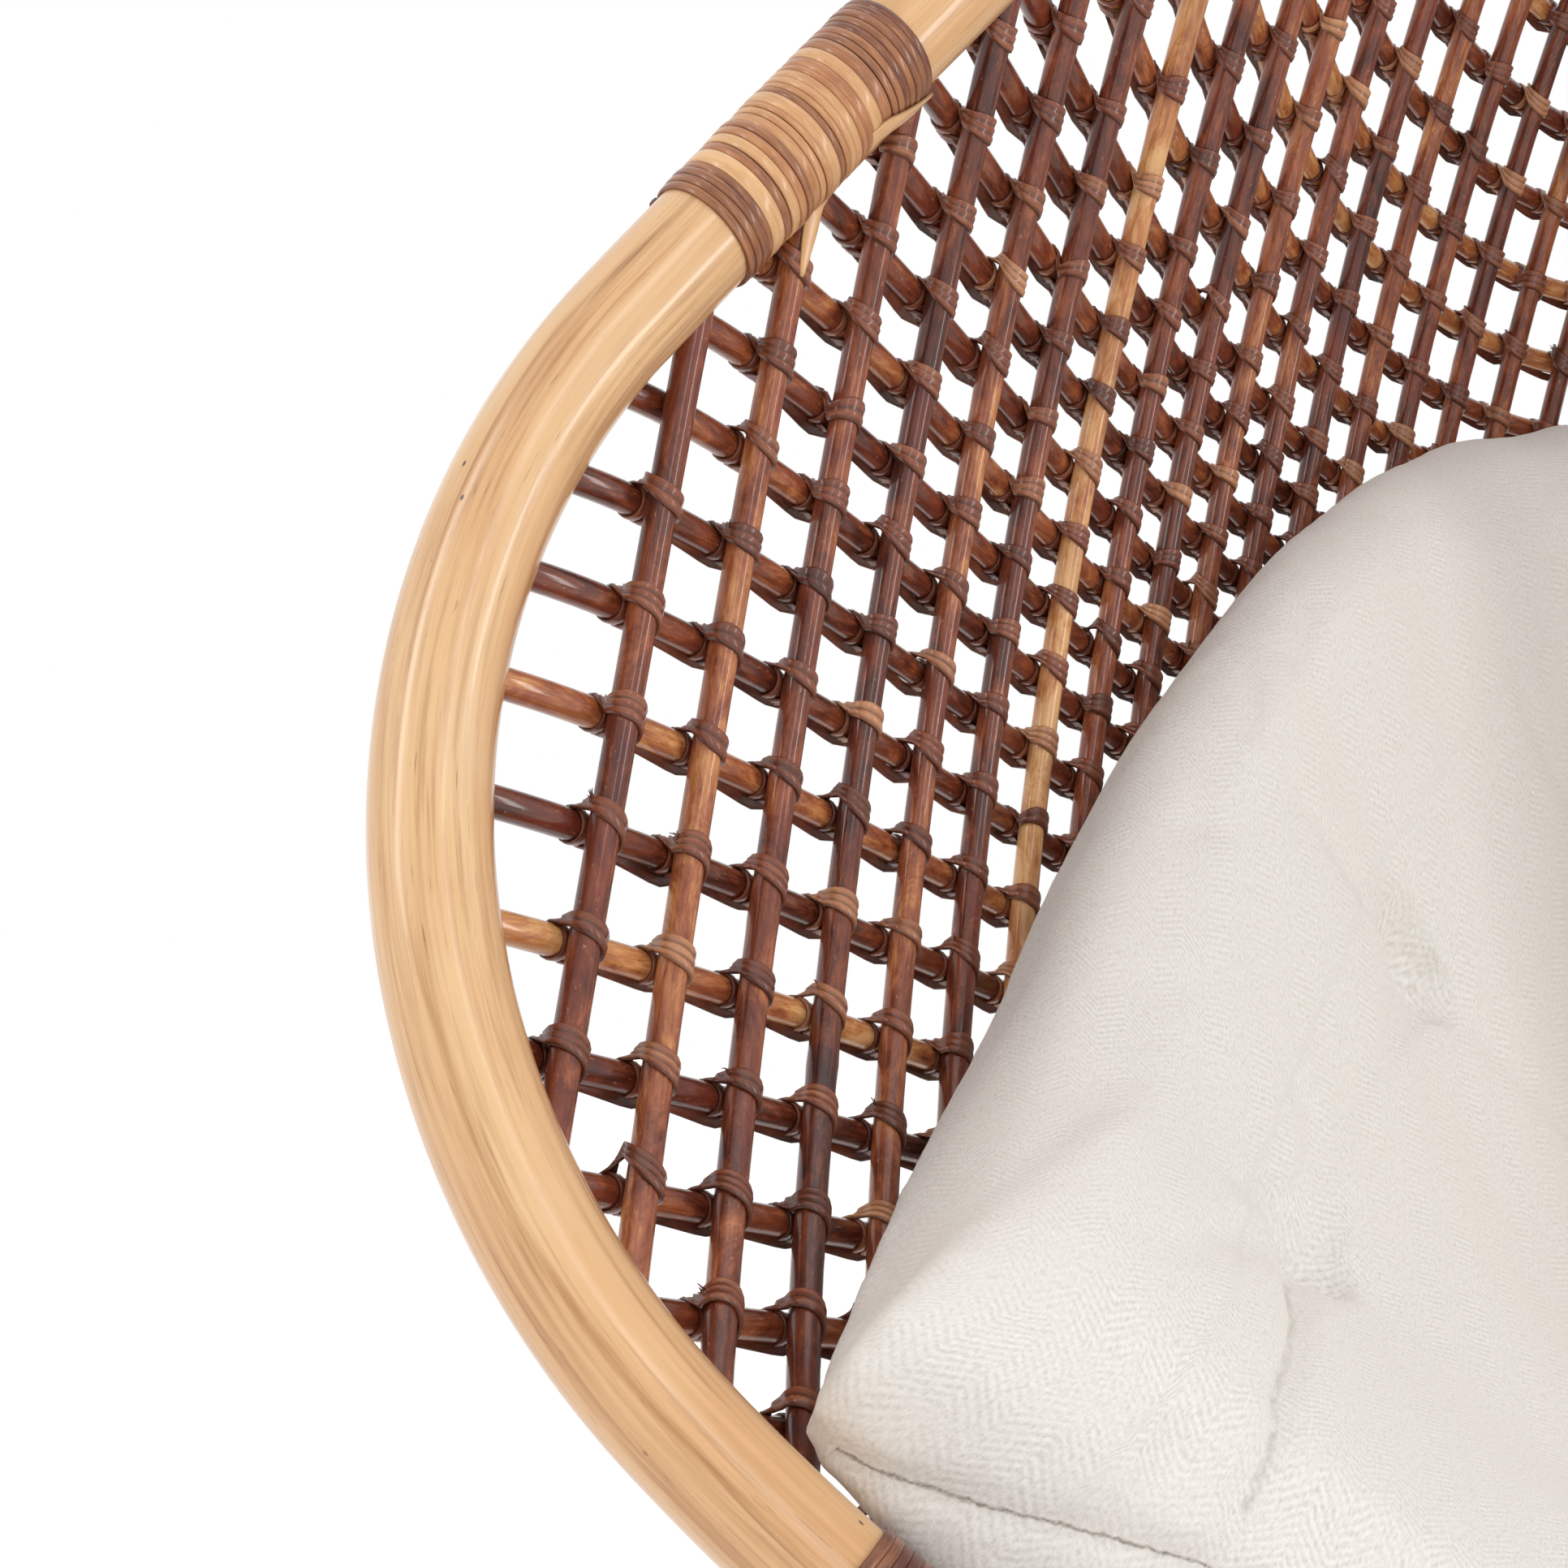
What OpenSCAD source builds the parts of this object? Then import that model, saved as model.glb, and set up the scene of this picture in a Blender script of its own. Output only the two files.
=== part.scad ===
// Hanging egg chair: an oval rattan rim, a basket of bent ribs and hoops tied at
// each crossing, a thick seat pad, and a swivel with shackle and eye bolt above.
// Millimetres. Origin at the centre of the swivel's upper eye, +Z up, +X to the
// right of a viewer facing the opening, +Y into the basket.

/* [Rim] */
// Diameter of the rattan pole of the rim
pole_d = 37.4; // [34:0.2:39]
// Bend radius of the rim across the bottom
bottom_r = 697; // [665:2:730]
// Angle at which the bottom bend ends
bottom_end = 37; // [35.5:0.5:38.5]
// Bend radius of the lower corners
corner_r = 261; // [250:1:272]
// Angle at which the corner bend ends
corner_end = 119.6; // [119:0.1:120.2]
// Bend radius of the long sides
side_r = 6500; // [5800:100:7400]
// Bend radius of the rim across the top
top_r = 228; // [205:1:255]
// How far the rim leans back at rest
lean = 18.6; // [12:0.1:22]

/* [Basket] */
// Depth of the basket behind the rim
basket_depth = 518; // [480:2:550]
// How full the sides of the basket are
side_fullness = 1.68; // [1.5:0.02:1.9]
// How sharply the basket closes towards the rim
side_closing = 1.6; // [1.45:0.05:1.8]
// Diameter of the ribs and hoops
rod_d = 10.5; // [8:0.1:10.8]
// Room between the outermost ribs and the rim's widest place
rib_side_room = 56.2; // [50:0.2:62]
// Room between ribs and the hoops outside them
hoop_gap = 2; // [1.8:0.1:2.6]
// Length along the rim from the bottom bend's end to the middle hoop
hoop_start = 208; // [198:1:218]
// Spacing of the hoops along the rim at the middle hoop
hoop_pitch = 38; // [37.4:0.1:38.6]
// Fall of the spacing from one hoop to the next
hoop_pitch_fall = 0.7; // [0.6:0.05:0.8]
// Length of rim left free above the last hoop
hoop_top_room = 75; // [70:1:90]
// Length of rim from its bottom to the first hoop
hoop_bottom_room = 105; // [95:1:115]
// Rise of the hoops towards the back
hoop_rise = 0.11; // [0.08:0.01:0.13]
// Extra rise of the lower hoops
hoop_low_rise = 0.13; // [0.1:0.01:0.16]

/* [Lashings] */
// Thickness of the peel wound round the rim
peel_t = 2; // [1.5:0.1:3]
// Length of an upper rim lashing
upper_lash_l = 106; // [90:1:120]
// Length of a lower rim lashing
lower_lash_l = 102; // [90:1:110]
// Width of the band at each crossing
tie_w = 9; // [7:0.5:10]
// How far the band stands proud of the rods
tie_t = 0.7; // [0.4:0.1:1.2]

/* [Cushion] */
// Thickness of the seat pad
pad_t = 112; // [80:1:125]
// Half width of the pad at its front
pad_half_w = 393; // [360:1:398]
// Length of the pad along the basket from front to top
pad_l = 1085; // [980:5:1120]
// Room between the pad and the ribs
pad_gap = 0.6; // [0.4:0.1:3]

/* [Hanging] */
// Bore radius of the upper eye of the swivel
eye_bore_r = 8; // [7:0.1:9]
// Thickness of the upper eye
eye_t = 12; // [10:0.5:14]
// Radial running clearance of pins in their eyes
running = 0.05; // [0.02:0.01:0.1]
// Diameter of the eye bolt's shank
bolt_d = 8; // [7:0.5:8]

/* [Show] */
// Node to build

/* [Hidden] */
$fn = 96;
eps = 0.01;

// Rim: four bends to a side, each [radius, centre u, centre v, start, end]
pole_r = pole_d / 2;
seam = 50;
growth_rise = 0.3;
growth_l = 5;
growth_in = 0.5;
arc_1 = [bottom_r, 0, bottom_r, 0, bottom_end];
arc_2 = next_arc(arc_1, corner_r, corner_end);
side_u = arc_2[1] + (corner_r - side_r) * sin(corner_end);
side_end = 180 - asin(side_u / (top_r - side_r));
arc_3 = next_arc(arc_2, side_r, side_end);
arc_4 = next_arc(arc_3, top_r, 180);
arcs = [arc_1, arc_2, arc_3, arc_4];
arc_l = [for (a = arcs) a[0] * (a[4] - a[3]) * PI / 180];
rim_h = arc_4[2] + top_r;
half_w = arc_2[1] + corner_r;
u_1 = arc_u(arc_1, bottom_end);
u_2 = arc_u(arc_2, corner_end);
u_3 = arc_u(arc_3, side_end);

// Splices of the rim and the lashings over them, as angles of their bends
splice_gap = 0.4;
low_splice = 340;
low_f = low_splice / bottom_r * 180 / PI;
up_splice = 87;
up_f = corner_end + up_splice / side_r * 180 / PI;
lash_bite = 0.2;
low_lash_f = lower_lash_l / 2 / bottom_r * 180 / PI;
up_lash_f = upper_lash_l / 2 / side_r * 180 / PI;
low_gap_f = splice_gap / 2 / bottom_r * 180 / PI;
up_gap_f = splice_gap / 2 / side_r * 180 / PI;

// Ribs and hoops
rod_r = rod_d / 2;
ribs_side = 16;
rib_pitch = (half_w - rib_side_room) / ribs_side;
rod_in = 11;
hoops = 38;
mid_hoop = 14;
seen_hoops = 11;
low_rise_h = 150;
hoop_off = rod_d + hoop_gap;
rim_l = arc_l[0] + arc_l[1] + arc_l[2] + arc_l[3];
mid_s = arc_l[0] + hoop_start;
low_n = mid_hoop - 1;
hoop_low_fall = 2 * (mid_s - hoop_pitch * low_n - hoop_bottom_room) / (low_n * low_n);
seen_s = mid_s + hoop_pitch * seen_hoops - hoop_pitch_fall * seen_hoops * seen_hoops / 2;
hoop_top_pitch = (rim_l - hoop_top_room - seen_s) / (hoops - mid_hoop - seen_hoops);
hoop_sides = 8;
ring_pitch = 46;
ring_min = 7;
ring_power = 1.1;
fine = 0.5;

// Crossing ties
tie_r = (2 * rod_d + hoop_gap) / 2 + tie_t;
tie_room = pole_r + peel_t + tie_r + 0.5;
split_hoop = 20;

// Pad
pad_stations = 30;
pad_loop = 32;
pad_front = 19.4;
pad_front_t = 60;
pad_rise_l = 170;
pad_start = 0.6;
pad_power = 1.34;
pad_taper = 0.645;
pad_low_square = 0.08;
pad_high_square = 0.42;
pad_soft = 0.7;
pad_blend_l = 300;
pad_flare = 0.05;
pad_flare_l = 200;
pad_front_edge = 7;
pad_front_nose = 2.5;
pad_top_room = 60;
pad_top_nose = 3;
pad_mid = 0.42;
pad_even = 0.35;
pad_lift = tie_r - hoop_off / 2 + pad_gap;

// Hanging gear, heights below the origin
eye_r = 16;
neck_r = 5;
neck_top = -13;
neck_end = -34;
head_r = 9;
head_end = -40;
barrel_r = 14;
barrel_top = -19;
barrel_end = -46;
barrel_room = 0.3;
thread_bite = 0.05;
ring_r = 13;
ring_wire_r = 4;
ring_z = barrel_end - ring_r;
swing_z = ring_z - ring_r;
bow_r = 10;
bow_wire_r = 4;
bow_drop = bow_r - bow_wire_r - ring_wire_r - 0.1;
bow_z = swing_z - bow_drop;
pin_z = -100;
pin_r = 4;
ear_r = 9;
ear_t = 8;
pin_head_r = 7;
pin_head_t = 4;
pin_tail = 3;
lug_r = 11;
lug_room = 0.3;
lug_t = 2 * (bow_r - ear_t / 2 - lug_room);
washer_r = 12;
washer_t = 2;
washer_bed = 1.5;
collar_r = 8;
collar_t = 3;
collar_top = -118;
bolt_r = bolt_d / 2;
bolt_room = 0.2;
washer_top = collar_top - collar_t;
pole_z = washer_top - washer_t - pole_r + washer_bed;
low_washer = pole_z - pole_r + washer_bed;
nut_t = 6.5;
nut_r = 7.5;
nut_sides = 6;
bolt_spare = 4;
bolt_end = low_washer - washer_t - nut_t - bolt_spare;

// Colours
pole_colour = [0.78, 0.52, 0.27];
rod_colour = [0.36, 0.16, 0.09];
peel_colour = [0.55, 0.27, 0.12];
pad_colour = [0.88, 0.86, 0.81];
steel_colour = [0.62, 0.63, 0.65];

// Node names

// Next bend of the rim, tangent to the one before
function next_arc(a, r, end) =
    [r, a[1] + (a[0] - r) * sin(a[4]), a[2] - (a[0] - r) * cos(a[4]), a[4], end];
function trim(a) = growth_in / a[0] * 180 / PI;
function arc_u(a, f) = a[1] + a[0] * sin(f);
function arc_v(a, f) = a[2] - a[0] * cos(f);
function arc_rise(a, x) = sqrt(max(0, a[0] * a[0] - (x - a[1]) * (x - a[1])));

// Height of the rim's lower and upper half at a distance x from the middle
function rim_low(x) = x < u_1 ? arc_1[2] - arc_rise(arc_1, x) : arc_2[2] - arc_rise(arc_2, x);
function rim_high(x) =
    x < u_3 ? arc_4[2] + arc_rise(arc_4, x)
    : x < u_2 ? arc_3[2] + arc_rise(arc_3, x)
    : arc_2[2] + arc_rise(arc_2, x);

// Point of the rim at a length along it from the bottom
function rim_at(s, i = 0) =
    (s > arc_l[i] && i < 3) ? rim_at(s - arc_l[i], i + 1)
    : let (a = arcs[i], f = a[3] + s / a[0] * 180 / PI) [arc_u(a, f), arc_v(a, f)];

// Distance of a point from the rim's middle line
function bend_gap(a, x, v) =
    let (f = atan2(x - a[1], a[2] - v))
    (f >= a[3] && f <= a[4]) ? abs(norm([x - a[1], v - a[2]]) - a[0]) : rim_h;
function rim_gap(p) = norm([min([for (a = arcs) bend_gap(a, abs(p[0]), p[2])]), p[1]]);

// Rib in the plane u: [depth, half span, middle height, bend radius]
function rib_at(u) =
    let (
        x = min(abs(u), half_w - fine),
        low = rim_low(x),
        high = rim_high(x),
        d = basket_depth * pow(1 - pow(x / half_w, side_fullness), side_closing),
        c = (high - low) / 2
    ) [d, c, (high + low) / 2, (c * c + d * d) / (2 * d)];
function rib_end(g) = atan2(g[1], g[3] - g[0]);
function rib_point(u, t, g) = [u, g[0] - g[3] + g[3] * cos(t), g[2] + g[3] * sin(t)];
function depth_at(u, v) =
    let (g = rib_at(u)) g[0] - g[3] + sqrt(max(0, g[3] * g[3] - pow(v - g[2], 2)));

// Outward direction of the basket at a point of it
function outward(u, v) =
    let (
        du = depth_at(u + fine, v) - depth_at(u - fine, v),
        dv = depth_at(u, v + fine) - depth_at(u, v - fine),
        n = [-du, 2 * fine, -dv]
    ) n / norm(n);

// Hoop: height on the rim, rise, and its points on the basket
function hoop_s(n) =
    let (
        k = n - mid_hoop,
        m = min(k, seen_hoops),
        fall = k < 0 ? hoop_low_fall : hoop_pitch_fall
    ) mid_s + hoop_pitch * m - fall * m * m / 2 + hoop_top_pitch * (k - m);
function hoop_rise_at(v) =
    (hoop_rise + hoop_low_rise * max(0, 1 - 2 * v / rim_h)) * min(1, v / low_rise_h);
function hoop_point(v, t, u) =
    let (
        g = rib_at(u),
        wc = g[0] - g[3],
        a = 1 + t * t,
        b = t * (v - g[2]) - wc,
        c = wc * wc + pow(v - g[2], 2) - g[3] * g[3],
        w = (-b + sqrt(max(0, b * b - a * c))) / a
    ) [u, w, v + t * w];
function hoop_path(n) =
    let (
        e = rim_at(hoop_s(n)),
        t = hoop_rise_at(e[1]),
        half = max(ring_min, ceil(e[0] / ring_pitch))
    ) [for (i = [-half : half])
        let (p = hoop_point(e[1], t, e[0] * signed_pow(i / half, ring_power)))
        p + hoop_off * outward(p[0], p[2])];

// Round rod along a path of points
function unit(p) = p / norm(p);
function ring_at(path, i) =
    let (
        last = len(path) - 1,
        dir = unit(path[min(i + 1, last)] - path[max(i - 1, 0)]),
        side = unit(cross(dir, [0, 0, 1])),
        up = cross(side, dir)
    ) [for (k = [0 : hoop_sides - 1])
        let (a = 360 * k / hoop_sides) path[i] + rod_r * (cos(a) * side + sin(a) * up)];

// Corners and faces of a tube of rings, closed at both ends
function tube_faces(rings, sides) = concat(
    [[for (k = [0 : sides - 1]) sides - 1 - k]],
    [for (i = [0 : rings - 2], k = [0 : sides - 1])
        let (a = i * sides, b = a + sides, m = (k + 1) % sides) [a + k, a + m, b + m]],
    [for (i = [0 : rings - 2], k = [0 : sides - 1])
        let (a = i * sides, b = a + sides, m = (k + 1) % sides) [a + k, b + m, b + k]],
    [[for (k = [0 : sides - 1]) (rings - 1) * sides + k]]
);

// Pad: half width at a length along it, and a point of its skin
function pad_width(s) = pad_half_w * pow(max(0, 1 - pow(s / pad_l, pad_power)), pad_taper);
function signed_pow(x, p) = sign(x) * pow(abs(x), p);
function nose(x, p) = pow(max(0, 1 - pow(max(0, min(1, x)), p)), 1 / p);
function pad_height(s) =
    pad_front_t + (pad_t - pad_front_t) * nose(1 - (s - pad_front) / pad_rise_l, 2);
function pad_end(s) =
    min(
        nose(1 - (s - pad_front) / pad_front_edge, pad_front_nose),
        nose(1 - (pad_l - s) / pad_top_room, pad_top_nose)
    );
function pad_power_at(s, start) = start + (pad_soft - start) * min(1, s / pad_blend_l);
function pad_point(u, s, h) =
    let (
        g = rib_at(u),
        p = rib_point(u, s / g[3] * 180 / PI - rib_end(g), g)
    ) p - (pad_lift + h) * outward(p[0], p[2]);
function pad_ring(s) =
    let (
        high = pad_height(s),
        low = high * pad_mid,
        end = pad_end(s),
        flare = pad_flare * max(0, 1 - s / pad_flare_l)
    ) [for (k = [0 : pad_loop - 1])
        let (
            a = 360 * k / pad_loop,
            bend = pad_power_at(s, sin(a) < 0 ? pad_low_square : pad_high_square),
            x = signed_pow(cos(a), bend),
            y = signed_pow(sin(a), bend),
            h = low + end * y * (y > 0 ? high - low : low)
        ) pad_point(pad_width(s) * x * (1 + flare * h / pad_t), s, h)];
function pad_s(i) =
    let (f = i / (pad_stations - 1), e = (1 - cos(180 * f)) / 2)
    pad_front + pad_start + (pad_l - pad_front - 2 * pad_start) * (pad_even * f + (1 - pad_even) * e);

// Move from the rim's own frame (u right, w deep, v up) to the hanging chair
module in_rim() {
    translate([0, 0, pole_z]) rotate([-lean, 0, 0]) translate([0, 0, -rim_h]) children();
}

// Part of a rim bend as a bent pole or sleeve
module bend(a, start, end, r, r_in = 0) {
    translate([a[1], 0, a[2]])
        rotate([90, 0, 0])
            rotate([0, 0, start - 90])
                rotate_extrude(angle = end - start)
                    translate([a[0], 0])
                        rotate([0, 0, seam])
                            difference() {
                                circle(r = r);
                                if (r_in > 0) circle(r = r_in);
                            }
}

module rim_bottom() {
    color(pole_colour) in_rim() bend(arc_1, -low_f + low_gap_f, low_f - low_gap_f, pole_r);
}

// Growth ring of the pole where two bends meet
module growth_ring(a) {
    translate([arc_u(a, a[4]), 0, arc_v(a, a[4])])
        rotate([0, 90 - a[4], 0])
            cylinder(r = pole_r + growth_rise, h = growth_l, center = true);
}

module side_pole() {
    bend(arc_1, low_f + low_gap_f, bottom_end - trim(arc_1), pole_r);
    growth_ring(arc_1);
    bend(arc_2, bottom_end + trim(arc_2), corner_end - trim(arc_2), pole_r);
    growth_ring(arc_2);
    bend(arc_3, corner_end + trim(arc_3), up_f - up_gap_f, pole_r);
}

module top_side() {
    bend(arc_3, up_f + up_gap_f, side_end - trim(arc_3), pole_r);
    growth_ring(arc_3);
}

module rim_right() {
    color(pole_colour) in_rim() side_pole();
}

module rim_left() {
    color(pole_colour) in_rim() mirror([1, 0, 0]) side_pole();
}

module rim_top() {
    top_half = 180 - side_end - trim(arc_4);
    color(pole_colour) difference() {
        in_rim() {
            top_side();
            bend(arc_4, 180 - top_half, 180 + top_half, pole_r);
            mirror([1, 0, 0]) top_side();
        }
        translate([0, 0, pole_z - pole_d]) cylinder(r = bolt_r + bolt_room, h = 2 * pole_d);
    }
}

module low_lashing() {
    bend(arc_1, low_f - low_lash_f, low_f + low_lash_f, pole_r + peel_t, pole_r - lash_bite);
}

module up_lashing() {
    bend(arc_3, up_f - up_lash_f, up_f + up_lash_f, pole_r + peel_t, pole_r - lash_bite);
}

module lashing_low_right() {
    color(peel_colour) in_rim() low_lashing();
}

module lashing_low_left() {
    color(peel_colour) in_rim() mirror([1, 0, 0]) low_lashing();
}

module lashing_up_right() {
    color(peel_colour) in_rim() up_lashing();
}

module lashing_up_left() {
    color(peel_colour) in_rim() mirror([1, 0, 0]) up_lashing();
}

// One rib, its ends let into the rim
module rib(u) {
    g = rib_at(u);
    reach = rib_end(g) - rod_in / g[3] * 180 / PI;
    translate([u, g[0] - g[3], g[2]])
        rotate([90, 0, 90])
            rotate([0, 0, -reach])
                rotate_extrude(angle = 2 * reach)
                    translate([g[3], 0])
                        circle(r = rod_r);
}

// Rib number k from the middle, on both sides
module rib_pair(k) {
    color(rod_colour) in_rim() {
        rib(k * rib_pitch);
        if (k > 0) rib(-k * rib_pitch);
    }
}

// One hoop outside the ribs, its ends let into the rim
module hoop(n) {
    path = hoop_path(n);
    rings = len(path);
    polyhedron(
        points = [for (i = [0 : rings - 1]) for (p = ring_at(path, i)) p],
        faces = tube_faces(rings, hoop_sides)
    );
}

// Hoops 2n-1 and 2n, counted from the bottom
module hoop_pair(n) {
    color(rod_colour) in_rim() {
        hoop(2 * n - 1);
        hoop(2 * n);
    }
}

// Band of peel round one crossing, on the slant from upper left to lower right
module tie(u, n) {
    e = rim_at(hoop_s(n));
    t = hoop_rise_at(e[1]);
    p = hoop_point(e[1], t, u);
    out = outward(p[0], p[2]);
    along = unit(hoop_point(e[1], t, u + 1) - hoop_point(e[1], t, u - 1));
    up = unit(cross(along, out));
    turn = unit(along + (up[2] < 0 ? -up : up));
    c = p + out * hoop_off / 2;
    translate(c)
        rotate([0, acos(turn[2]), atan2(turn[1], turn[0])])
            translate([0, 0, -tie_w / 2])
                cylinder(r = tie_r, h = tie_w);
}

// Ties of one quarter of the basket
module ties(right, first, last) {
    color(peel_colour) in_rim()
        for (n = [first : last]) {
            e = rim_at(hoop_s(n));
            t = hoop_rise_at(e[1]);
            for (k = [-ribs_side : ribs_side]) {
                u = k * rib_pitch;
                p = hoop_point(e[1], t, u);
                inside = abs(u) < e[0] && rim_gap(p + out_step(p)) > tie_room;
                if (inside && (k > 0) == right) tie(u, n);
            }
        }
}
function out_step(p) = outward(p[0], p[2]) * hoop_off / 2;

module ties_low_left() {
    ties(false, 1, split_hoop);
}

module ties_low_right() {
    ties(true, 1, split_hoop);
}

module ties_high_left() {
    ties(false, split_hoop + 1, hoops);
}

module ties_high_right() {
    ties(true, split_hoop + 1, hoops);
}

// Seat pad, up the back of the basket
module cushion() {
    color(pad_colour) in_rim()
        polyhedron(
            points = [for (i = [0 : pad_stations - 1]) for (p = pad_ring(pad_s(i))) p],
            faces = tube_faces(pad_stations, pad_loop)
        );
}

// Cylinder along Y, centred
module pin_y(r, l) {
    rotate([90, 0, 0]) cylinder(r = r, h = l, center = true);
}

module swivel_upper() {
    color(steel_colour) {
        difference() {
            union() {
                pin_y(eye_r, eye_t);
                translate([0, 0, neck_end - eps]) cylinder(r = neck_r, h = neck_top - neck_end + eps);
            }
            pin_y(eye_bore_r, 2 * eye_t);
        }
        translate([0, 0, head_end]) cylinder(r = head_r, h = neck_end - head_end);
    }
}

module swivel_lower() {
    color(steel_colour) {
        difference() {
            translate([0, 0, barrel_end]) cylinder(r = barrel_r, h = barrel_top - barrel_end);
            translate([0, 0, head_end - barrel_room])
                cylinder(r = head_r + barrel_room, h = neck_end - head_end + 2 * barrel_room);
            translate([0, 0, neck_end]) cylinder(r = neck_r + running, h = 2 * barrel_r);
        }
        translate([0, 0, ring_z])
            rotate([90, 0, 0])
                rotate_extrude()
                    translate([ring_r, 0])
                        circle(r = ring_wire_r);
    }
}

module shackle() {
    color(steel_colour) difference() {
        union() {
            translate([0, 0, bow_z])
                rotate([90, 0, 90])
                    rotate_extrude(angle = 180)
                        translate([bow_r, 0])
                            circle(r = bow_wire_r);
            for (side = [-1, 1]) {
                translate([0, side * bow_r, pin_z]) cylinder(r = bow_wire_r, h = bow_z - pin_z);
                translate([0, side * bow_r, pin_z]) pin_y(ear_r, ear_t);
            }
        }
        translate([0, 0, pin_z]) pin_y(pin_r - thread_bite, 4 * bow_r);
    }
}

module shackle_pin() {
    color(steel_colour) translate([0, 0, pin_z]) {
        pin_y(pin_r, 2 * (bow_r + ear_t / 2) + 2 * pin_tail);
        translate([0, -bow_r - ear_t / 2 - pin_head_t / 2, 0]) pin_y(pin_head_r, pin_head_t);
    }
}

module eye_bolt() {
    color(steel_colour) difference() {
        union() {
            translate([0, 0, pin_z]) pin_y(lug_r, lug_t);
            translate([0, 0, bolt_end]) cylinder(r = bolt_r, h = pin_z - bolt_end);
            translate([0, 0, collar_top - collar_t]) cylinder(r = collar_r, h = collar_t);
        }
        translate([0, 0, pin_z]) pin_y(pin_r + running, 2 * lug_t);
    }
}

module washer(top) {
    translate([0, 0, top - washer_t])
        difference() {
            cylinder(r = washer_r, h = washer_t);
            translate([0, 0, -eps]) cylinder(r = bolt_r + bolt_room, h = washer_t + 2 * eps);
        }
}

module washers() {
    color(steel_colour) {
        washer(washer_top);
        washer(low_washer);
    }
}

module nut() {
    color(steel_colour) translate([0, 0, low_washer - washer_t - nut_t])
        difference() {
            cylinder(r = nut_r, h = nut_t, $fn = nut_sides);
            translate([0, 0, -eps]) cylinder(r = bolt_r - thread_bite, h = nut_t + 2 * eps);
        }
}

rim_bottom();
rim_right();
rim_left();
rim_top();
lashing_low_right();
lashing_low_left();
lashing_up_right();
lashing_up_left();
rib_pair(0);  // rib_00
rib_pair(1);  // rib_01
rib_pair(2);  // rib_02
rib_pair(3);  // rib_03
rib_pair(4);  // rib_04
rib_pair(5);  // rib_05
rib_pair(6);  // rib_06
rib_pair(7);  // rib_07
rib_pair(8);  // rib_08
rib_pair(9);  // rib_09
rib_pair(10);  // rib_10
rib_pair(11);  // rib_11
rib_pair(12);  // rib_12
rib_pair(13);  // rib_13
rib_pair(14);  // rib_14
rib_pair(15);  // rib_15
rib_pair(16);  // rib_16
hoop_pair(1);  // hoops_01
hoop_pair(2);  // hoops_02
hoop_pair(3);  // hoops_03
hoop_pair(4);  // hoops_04
hoop_pair(5);  // hoops_05
hoop_pair(6);  // hoops_06
hoop_pair(7);  // hoops_07
hoop_pair(8);  // hoops_08
hoop_pair(9);  // hoops_09
hoop_pair(10);  // hoops_10
hoop_pair(11);  // hoops_11
hoop_pair(12);  // hoops_12
hoop_pair(13);  // hoops_13
hoop_pair(14);  // hoops_14
hoop_pair(15);  // hoops_15
hoop_pair(16);  // hoops_16
hoop_pair(17);  // hoops_17
hoop_pair(18);  // hoops_18
hoop_pair(19);  // hoops_19
ties_low_left();
ties_low_right();
ties_high_left();
ties_high_right();
cushion();
swivel_upper();
swivel_lower();
shackle();
shackle_pin();
eye_bolt();
washers();
nut();
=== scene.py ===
"""Dresses the hanging egg chair: rattan rim, tied lattice, peel lashings, seat pad and steel swivel."""

import math

import bpy
import numpy as np
from mathutils import Matrix, Vector


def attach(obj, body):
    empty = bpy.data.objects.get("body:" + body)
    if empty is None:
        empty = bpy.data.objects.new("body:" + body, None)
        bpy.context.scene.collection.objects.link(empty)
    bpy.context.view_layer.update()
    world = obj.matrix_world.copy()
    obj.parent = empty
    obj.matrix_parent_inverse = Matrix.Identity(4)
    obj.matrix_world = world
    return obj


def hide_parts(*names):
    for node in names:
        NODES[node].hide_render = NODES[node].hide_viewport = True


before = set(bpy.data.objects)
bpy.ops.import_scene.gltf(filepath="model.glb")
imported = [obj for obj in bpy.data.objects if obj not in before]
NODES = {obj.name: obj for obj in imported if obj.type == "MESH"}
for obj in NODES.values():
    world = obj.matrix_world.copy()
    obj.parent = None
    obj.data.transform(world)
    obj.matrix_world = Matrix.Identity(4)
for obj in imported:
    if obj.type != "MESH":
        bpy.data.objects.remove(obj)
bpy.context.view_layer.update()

MM = 0.001
rng = np.random.default_rng(11)

# ---------------- the chair's sizes, in mm
# The rim's lean, and where the middle line of its top is below the swivel's eye
LEAN = math.radians(18.6)
POLE_Z = -140.2
# The rim's four bends, as radius and the angle where each ends
BOTTOM_R, BOTTOM_TURN = 697.0, 37.0
CORNER_R, CORNER_TURN = 261.0, 119.6
SIDE_R, TOP_R = 6500.0, 228.0
POLE_R = 18.7
PEEL_T = 2.0
ROD_R = 5.25
# Pairs of ribs and the room outside the last; the basket's depth and its fall to the sides
RIBS_SIDE, RIB_SIDE_ROOM = 16, 56.2
DEPTH, FULLNESS, CLOSING = 518.0, 1.68, 1.6
# Hoops: all, the one the pitch is counted from, how many above it keep that pitch, the last low one
HOOPS, MID_HOOP, SEEN_HOOPS, SPLIT_HOOP = 38, 14, 11, 20
HOOP_START, HOOP_PITCH, HOOP_FALL, HOOP_TOP_ROOM, HOOP_BOTTOM_ROOM = 208.0, 38.0, 0.7, 75.0, 105.0
HOOP_RISE, HOOP_LOW_RISE, LOW_RISE_H = 0.11, 0.13, 150.0
HOOP_OFF = 2 * ROD_R + 0.3
LOW_SPLICE, UP_SPLICE = 340.0, 87.0
LASH_L = 102.0
ROD_IN = 11.0


def sin_d(a):
    return math.sin(math.radians(a))


def cos_d(a):
    return math.cos(math.radians(a))


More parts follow.
